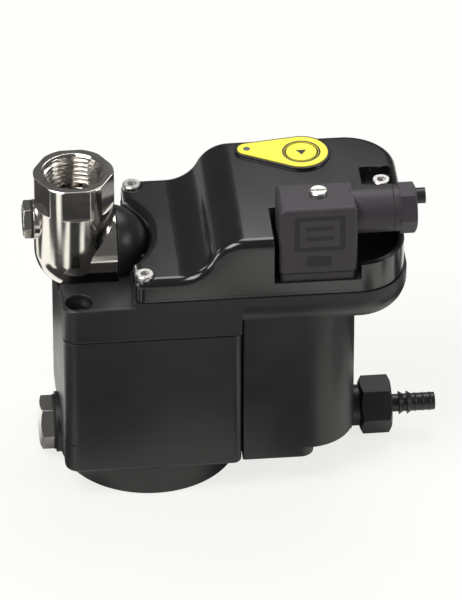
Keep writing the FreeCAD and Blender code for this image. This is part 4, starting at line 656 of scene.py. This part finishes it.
def add_bead(name, outline, height, make, slot, closed=True):
    """A fine bead that follows an outline at one height."""
    wire = wire_mesh(name, [(u, v, height) for u, v in outline], closed)
    return grown_piece(name, bead_tree(), make, "body", slot, mesh=wire, Bead=sizes().bead)


class DRAIN_OT_parting_lines(Operator):
    """Lay the fine beads left by the moulds along the castings"""

    bl_idname = "drain.parting_lines"
    bl_label = "Parting lines"

    container_height: length("Container", 23.6 * MM, "Height of the container's parting line")
    gasket_inset: length("Inset", 0.5 * MM, "How far the gaskets lie inside the castings")
    container_corner: length("Corner", 4 * MM, "Corner radius of the container")
    ear_corner: length("Ear corner", 3.4 * MM, "Corner radius of the cover at its ears")
    end_radius: length("End radius", 18 * MM, "Corner radius of the cover at its outlet end")

    def execute(self, context):
        low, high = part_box("container_gasket")
        out = self.gasket_inset - sizes().sunk
        outline = soft_rectangle(low.x - out, high.x + out, low.y - out, high.y + out,
                                 self.container_corner)
        add_bead("container_parting", outline, self.container_height, casting_material,
                 "cast_black")
        low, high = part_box("cover_gasket")
        steps = sizes().round_steps // 4
        end = self.end_radius - sizes().sunk
        right = high.x + out - end
        foot = [(low.x - out + self.ear_corner, low.y - out),
                *arc(right, low.y - out + end, end, -90, steps),
                *arc(right, high.y + out - end, end, 0, steps),
                (low.x - out + self.ear_corner, high.y + out)]
        add_bead("cover_lip", foot, high.z + sizes().lip, hood_material, "cover_black",
                 closed=False)
        return {"FINISHED"}


class DRAIN_OT_label_print(Operator):
    """Print the plain ring round the button and the press mark on it"""

    bl_idname = "drain.label_print"
    bl_label = "Label print"

    mark_reach: length("Mark", 2.2 * MM, "From the press mark's middle to its corners")
    mark_depth: FloatProperty(name="Mark depth", description="The mark's size along Y as a share "
                              "of its size along X", default=0.9)

    def execute(self, context):
        values = sizes()
        centre = middle("test_button")
        on_label = top_point(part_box("label")[1].z)

        def circle(reach):
            return [(centre.x + reach * math.cos(math.tau * step / values.round_steps),
                     centre.y + reach * math.sin(math.tau * step / values.round_steps))
                    for step in range(values.round_steps)]

        def ring(work):
            band(work, circle(values.ring_reach), circle(values.ring_reach - values.ring_width),
                 0, values.ink, on_label)

        add_piece("label_ring", mesh_of("label_ring", ring), ink_material, "body")

        def press_mark(work):
            reach = self.mark_reach
            outline = [(centre.x + reach * math.cos(math.radians(angle)),
                        centre.y + reach * math.sin(math.radians(angle)) * self.mark_depth)
                       for angle in (-90, 30, 150)]
            prism(work, outline, 0, values.ink, on_label)

        add_piece("button_mark", mesh_of("button_mark", press_mark), ink_material, "button")
        return {"FINISHED"}


# Each panel's name, its sides as shares of the connector's width, its bottom and top in mm over
# the connector's foot, its height as a share of the raised size, and its finish
PANELS = (
    ("connector_panel_large", 0.18, 0.85, 9.0, 23.6, 1.0, panel_material),
    ("connector_panel_inner", 0.25, 0.78, 10.8, 21.8, 1.3, connector_material),
    ("connector_bar_upper", 0.33, 0.70, 17.6, 19.4, 1.6, panel_material),
    ("connector_bar_lower", 0.33, 0.70, 13.4, 15.2, 1.6, panel_material),
    ("connector_panel_small", 0.34, 0.67, 2.4, 6.7, 1.0, panel_material),
)


class DRAIN_OT_connector_panels(Operator):
    """Raise the plain panels and bars on the connector's front"""

    bl_idname = "drain.connector_panels"
    bl_label = "Connector panels"

    corner: length("Corner", 0.8 * MM, "Corner radius of a panel")
    soften: length("Edge", 0.03 * MM, "Rounding of a panel's edge")

    def execute(self, context):
        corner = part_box("connector_housing")[0]
        low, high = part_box("connector_base")
        across = high.x - low.x
        on_front = front_point(corner.y)

        for name, start, end, bottom, top, share, make in PANELS:
            proud = sizes().raised * share
            outline = soft_rectangle(low.x + across * start, low.x + across * end,
                                     corner.z + bottom * MM, corner.z + top * MM, self.corner)

            def panel(work):
                prism(work, outline, -proud, proud, on_front)

            item = add_piece(name, mesh_of(name, panel), make, "body")
            add_bevel(item, self.soften)
        return {"FINISHED"}


# Colours of the stage: what the camera sees, what reflections see and what lights the drain

FLOOR_GLOW = (0.975, 0.98, 0.955, 1)
FLOOR_GLOW_SHARE = 0.80
DARK_PATCH = (0.47, (0.012, 0.012, 0.012, 1))
BRIGHT_PATCH = (0.56, (0.95, 0.94, 0.90, 1))
WORLD_LIGHT = (0.36, 0.36, 0.35, 1)
WORLD_REFLECTED = (0.10, 0.10, 0.10, 1)
WORLD_BEHIND = (1, 1, 0.99, 1)

# Each lamp's name, place and width in metres, and power in watts
LAMPS = (
    ("key", (-0.35, -0.25, 0.75), 0.45, 4.2),
    ("top", (0.25, 0.45, 0.85), 0.60, 4.0),
    ("right", (0.85, -0.35, 0.45), 0.35, 2.2),
    ("left", (-0.85, -0.15, 0.25), 0.30, 1.6),
)
LAMP_AIM = Vector((0.03, 0, 0.06))

# The camera's sensor in mm and how far it sees in metres
SENSOR_WIDTH = 36
CLIP_END = 100


class DRAIN_OT_stage(Operator):
    """Set up floor, lights and camera"""

    bl_idname = "drain.stage"
    bl_label = "Stage"

    azimuth: FloatProperty(name="Azimuth", description="Where the camera stands, in degrees",
                           default=-5.4)
    elevation: FloatProperty(name="Elevation", description="Camera above the horizon, in degrees",
                             default=35.0)
    distance: length("Distance", 2.5, "From the camera to the drain")
    fill: FloatProperty(name="Fill", description="Share of the picture's width that it takes",
                        default=0.93, min=0.2, max=1.0)
    floor_half: length("Floor", 4.0, "Half of the floor's side")
    patch_scale: FloatProperty(name="Patches", description="How fine the floor's patches are that "
                               "only reflections see", default=14.0)
    picture_width: IntProperty(name="Width", description="Picture width in pixels", default=462)
    picture_height: IntProperty(name="Height", description="Picture height in pixels", default=600)

    def execute(self, context):
        scene = context.scene
        scene.view_settings.view_transform = "Standard"
        self.add_floor(scene)
        self.set_world(scene)
        self.add_lamps(scene)
        self.add_camera(scene)
        return {"FINISHED"}

    def add_floor(self, scene):
        """A floor that the camera sees nearly white and reflections see in patches."""
        mesh = bpy.data.meshes.new("floor")
        half = self.floor_half
        mesh.from_pydata([(-half, -half, 0), (half, -half, 0), (half, half, 0), (-half, half, 0)],
                         [], [(0, 1, 2, 3)])
        floor = bpy.data.objects.new("floor", mesh)
        scene.collection.objects.link(floor)
        material, shader = new_material("Studio Floor")
        nodes, links = material.node_tree.nodes, material.node_tree.links
        shader.inputs["Roughness"].default_value = 0.8
        glow = nodes.new("ShaderNodeEmission")
        glow.inputs["Color"].default_value = FLOOR_GLOW
        rays = nodes.new("ShaderNodeLightPath")
        place = nodes.new("ShaderNodeTexCoord")
        patches = nodes.new("ShaderNodeTexNoise")
        patches.inputs["Scale"].default_value = self.patch_scale
        patches.inputs["Detail"].default_value = 0
        links.new(place.outputs["Object"], patches.inputs["Vector"])
        ramp = nodes.new("ShaderNodeValToRGB")
        for stop, (position, shade) in zip(ramp.color_ramp.elements, (DARK_PATCH, BRIGHT_PATCH)):
            stop.position = position
            stop.color = shade
        links.new(patches.outputs["Fac"], ramp.inputs["Fac"])
        seen = nodes.new("ShaderNodeMix")
        seen.data_type = "RGBA"
        seen.inputs["A"].default_value = colours().floor
        links.new(rays.outputs["Is Glossy Ray"], seen.inputs["Factor"])
        links.new(ramp.outputs["Color"], seen.inputs["B"])
        links.new(seen.outputs["Result"], shader.inputs["Base Color"])
        share = nodes.new("ShaderNodeMath")
        share.operation = "MULTIPLY"
        share.inputs[1].default_value = FLOOR_GLOW_SHARE
        links.new(rays.outputs["Is Camera Ray"], share.inputs[0])
        mix = nodes.new("ShaderNodeMixShader")
        links.new(share.outputs[0], mix.inputs["Fac"])
        links.new(shader.outputs[0], mix.inputs[1])
        links.new(glow.outputs[0], mix.inputs[2])
        links.new(mix.outputs[0], nodes["Material Output"].inputs["Surface"])
        mesh.materials.append(material)
        floor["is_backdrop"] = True

    def set_world(self, scene):
        """A soft light all round, darker in reflections and white behind the drain."""
        world = bpy.data.worlds.new("Studio")
        scene.world = world
        world.use_nodes = True
        nodes, links = world.node_tree.nodes, world.node_tree.links
        background = nodes["Background"]
        rays = nodes.new("ShaderNodeLightPath")
        shade = nodes.new("ShaderNodeMix")
        shade.data_type = "RGBA"
        shade.inputs["A"].default_value = WORLD_LIGHT
        shade.inputs["B"].default_value = WORLD_REFLECTED
        links.new(rays.outputs["Is Glossy Ray"], shade.inputs["Factor"])
        behind = nodes.new("ShaderNodeMix")
        behind.data_type = "RGBA"
        behind.inputs["B"].default_value = WORLD_BEHIND
        links.new(rays.outputs["Is Camera Ray"], behind.inputs["Factor"])
        links.new(shade.outputs["Result"], behind.inputs["A"])
        links.new(behind.outputs["Result"], background.inputs["Color"])

    def add_lamps(self, scene):
        for name, place, width, power in LAMPS:
            data = bpy.data.lights.new(name, "AREA")
            data.shape = "SQUARE"
            data.size = width
            data.energy = power
            lamp = bpy.data.objects.new(name, data)
            scene.collection.objects.link(lamp)
            lamp.location = place
            aim = LAMP_AIM - Vector(place)
            lamp.rotation_euler = aim.to_track_quat("-Z", "Y").to_euler()

    def add_camera(self, scene):
        """A camera that shows the drain as wide as the fill says."""
        low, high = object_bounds()
        centre = (low + high) / 2
        turn, rise = math.radians(self.azimuth), math.radians(self.elevation)
        back = Vector((math.sin(turn) * math.cos(rise), -math.cos(turn) * math.cos(rise),
                       math.sin(rise)))
        aside = Vector((math.cos(turn), math.sin(turn), 0))
        corners = [Vector((x, y, z)) for x in (low.x, high.x) for y in (low.y, high.y)
                   for z in (low.z, high.z)]
        spans = [(corner - centre).dot(aside) for corner in corners]
        wide = max(spans) - min(spans)
        data = bpy.data.cameras.new("camera")
        data.sensor_width = SENSOR_WIDTH
        data.clip_end = CLIP_END
        scale = self.picture_width * self.fill / wide
        data.lens = scale * self.distance * data.sensor_width / self.picture_height
        camera = bpy.data.objects.new("camera", data)
        scene.collection.objects.link(camera)
        camera.location = centre + back * self.distance
        camera.rotation_euler = (-back).to_track_quat("-Z", "Y").to_euler()
        scene.camera = camera


class DRAIN_PT_panel(Panel):
    """Sizes, colours and steps of the drain"""

    bl_label = "Condensate Drain"
    bl_idname = "DRAIN_PT_panel"
    bl_space_type = "VIEW_3D"
    bl_region_type = "UI"
    bl_category = "Drain"

    def draw(self, context):
        layout = self.layout
        for group in (context.scene.drain_sizes, context.scene.drain_colours):
            column = layout.column()
            for name in group.__annotations__:
                column.prop(group, name)
        for step in STEPS:
            layout.operator(step.bl_idname)


STEPS = (
    DRAIN_OT_finishes,
    DRAIN_OT_inlet_thread,
    DRAIN_OT_parting_lines,
    DRAIN_OT_label_print,
    DRAIN_OT_connector_panels,
    DRAIN_OT_stage,
)
CLASSES = (DrainSizes, DrainColours, *STEPS, DRAIN_PT_panel)


def register():
    for item in CLASSES:
        bpy.utils.register_class(item)
    bpy.types.Scene.drain_sizes = PointerProperty(type=DrainSizes)
    bpy.types.Scene.drain_colours = PointerProperty(type=DrainColours)


def unregister():
    del bpy.types.Scene.drain_sizes
    del bpy.types.Scene.drain_colours
    for item in reversed(CLASSES):
        bpy.utils.unregister_class(item)


def main():
    register()
    bpy.ops.drain.finishes()
    bpy.ops.drain.inlet_thread()
    bpy.ops.drain.parting_lines()
    bpy.ops.drain.label_print()
    bpy.ops.drain.connector_panels()
    bpy.ops.drain.stage()


if __name__ == "__main__":
    main()
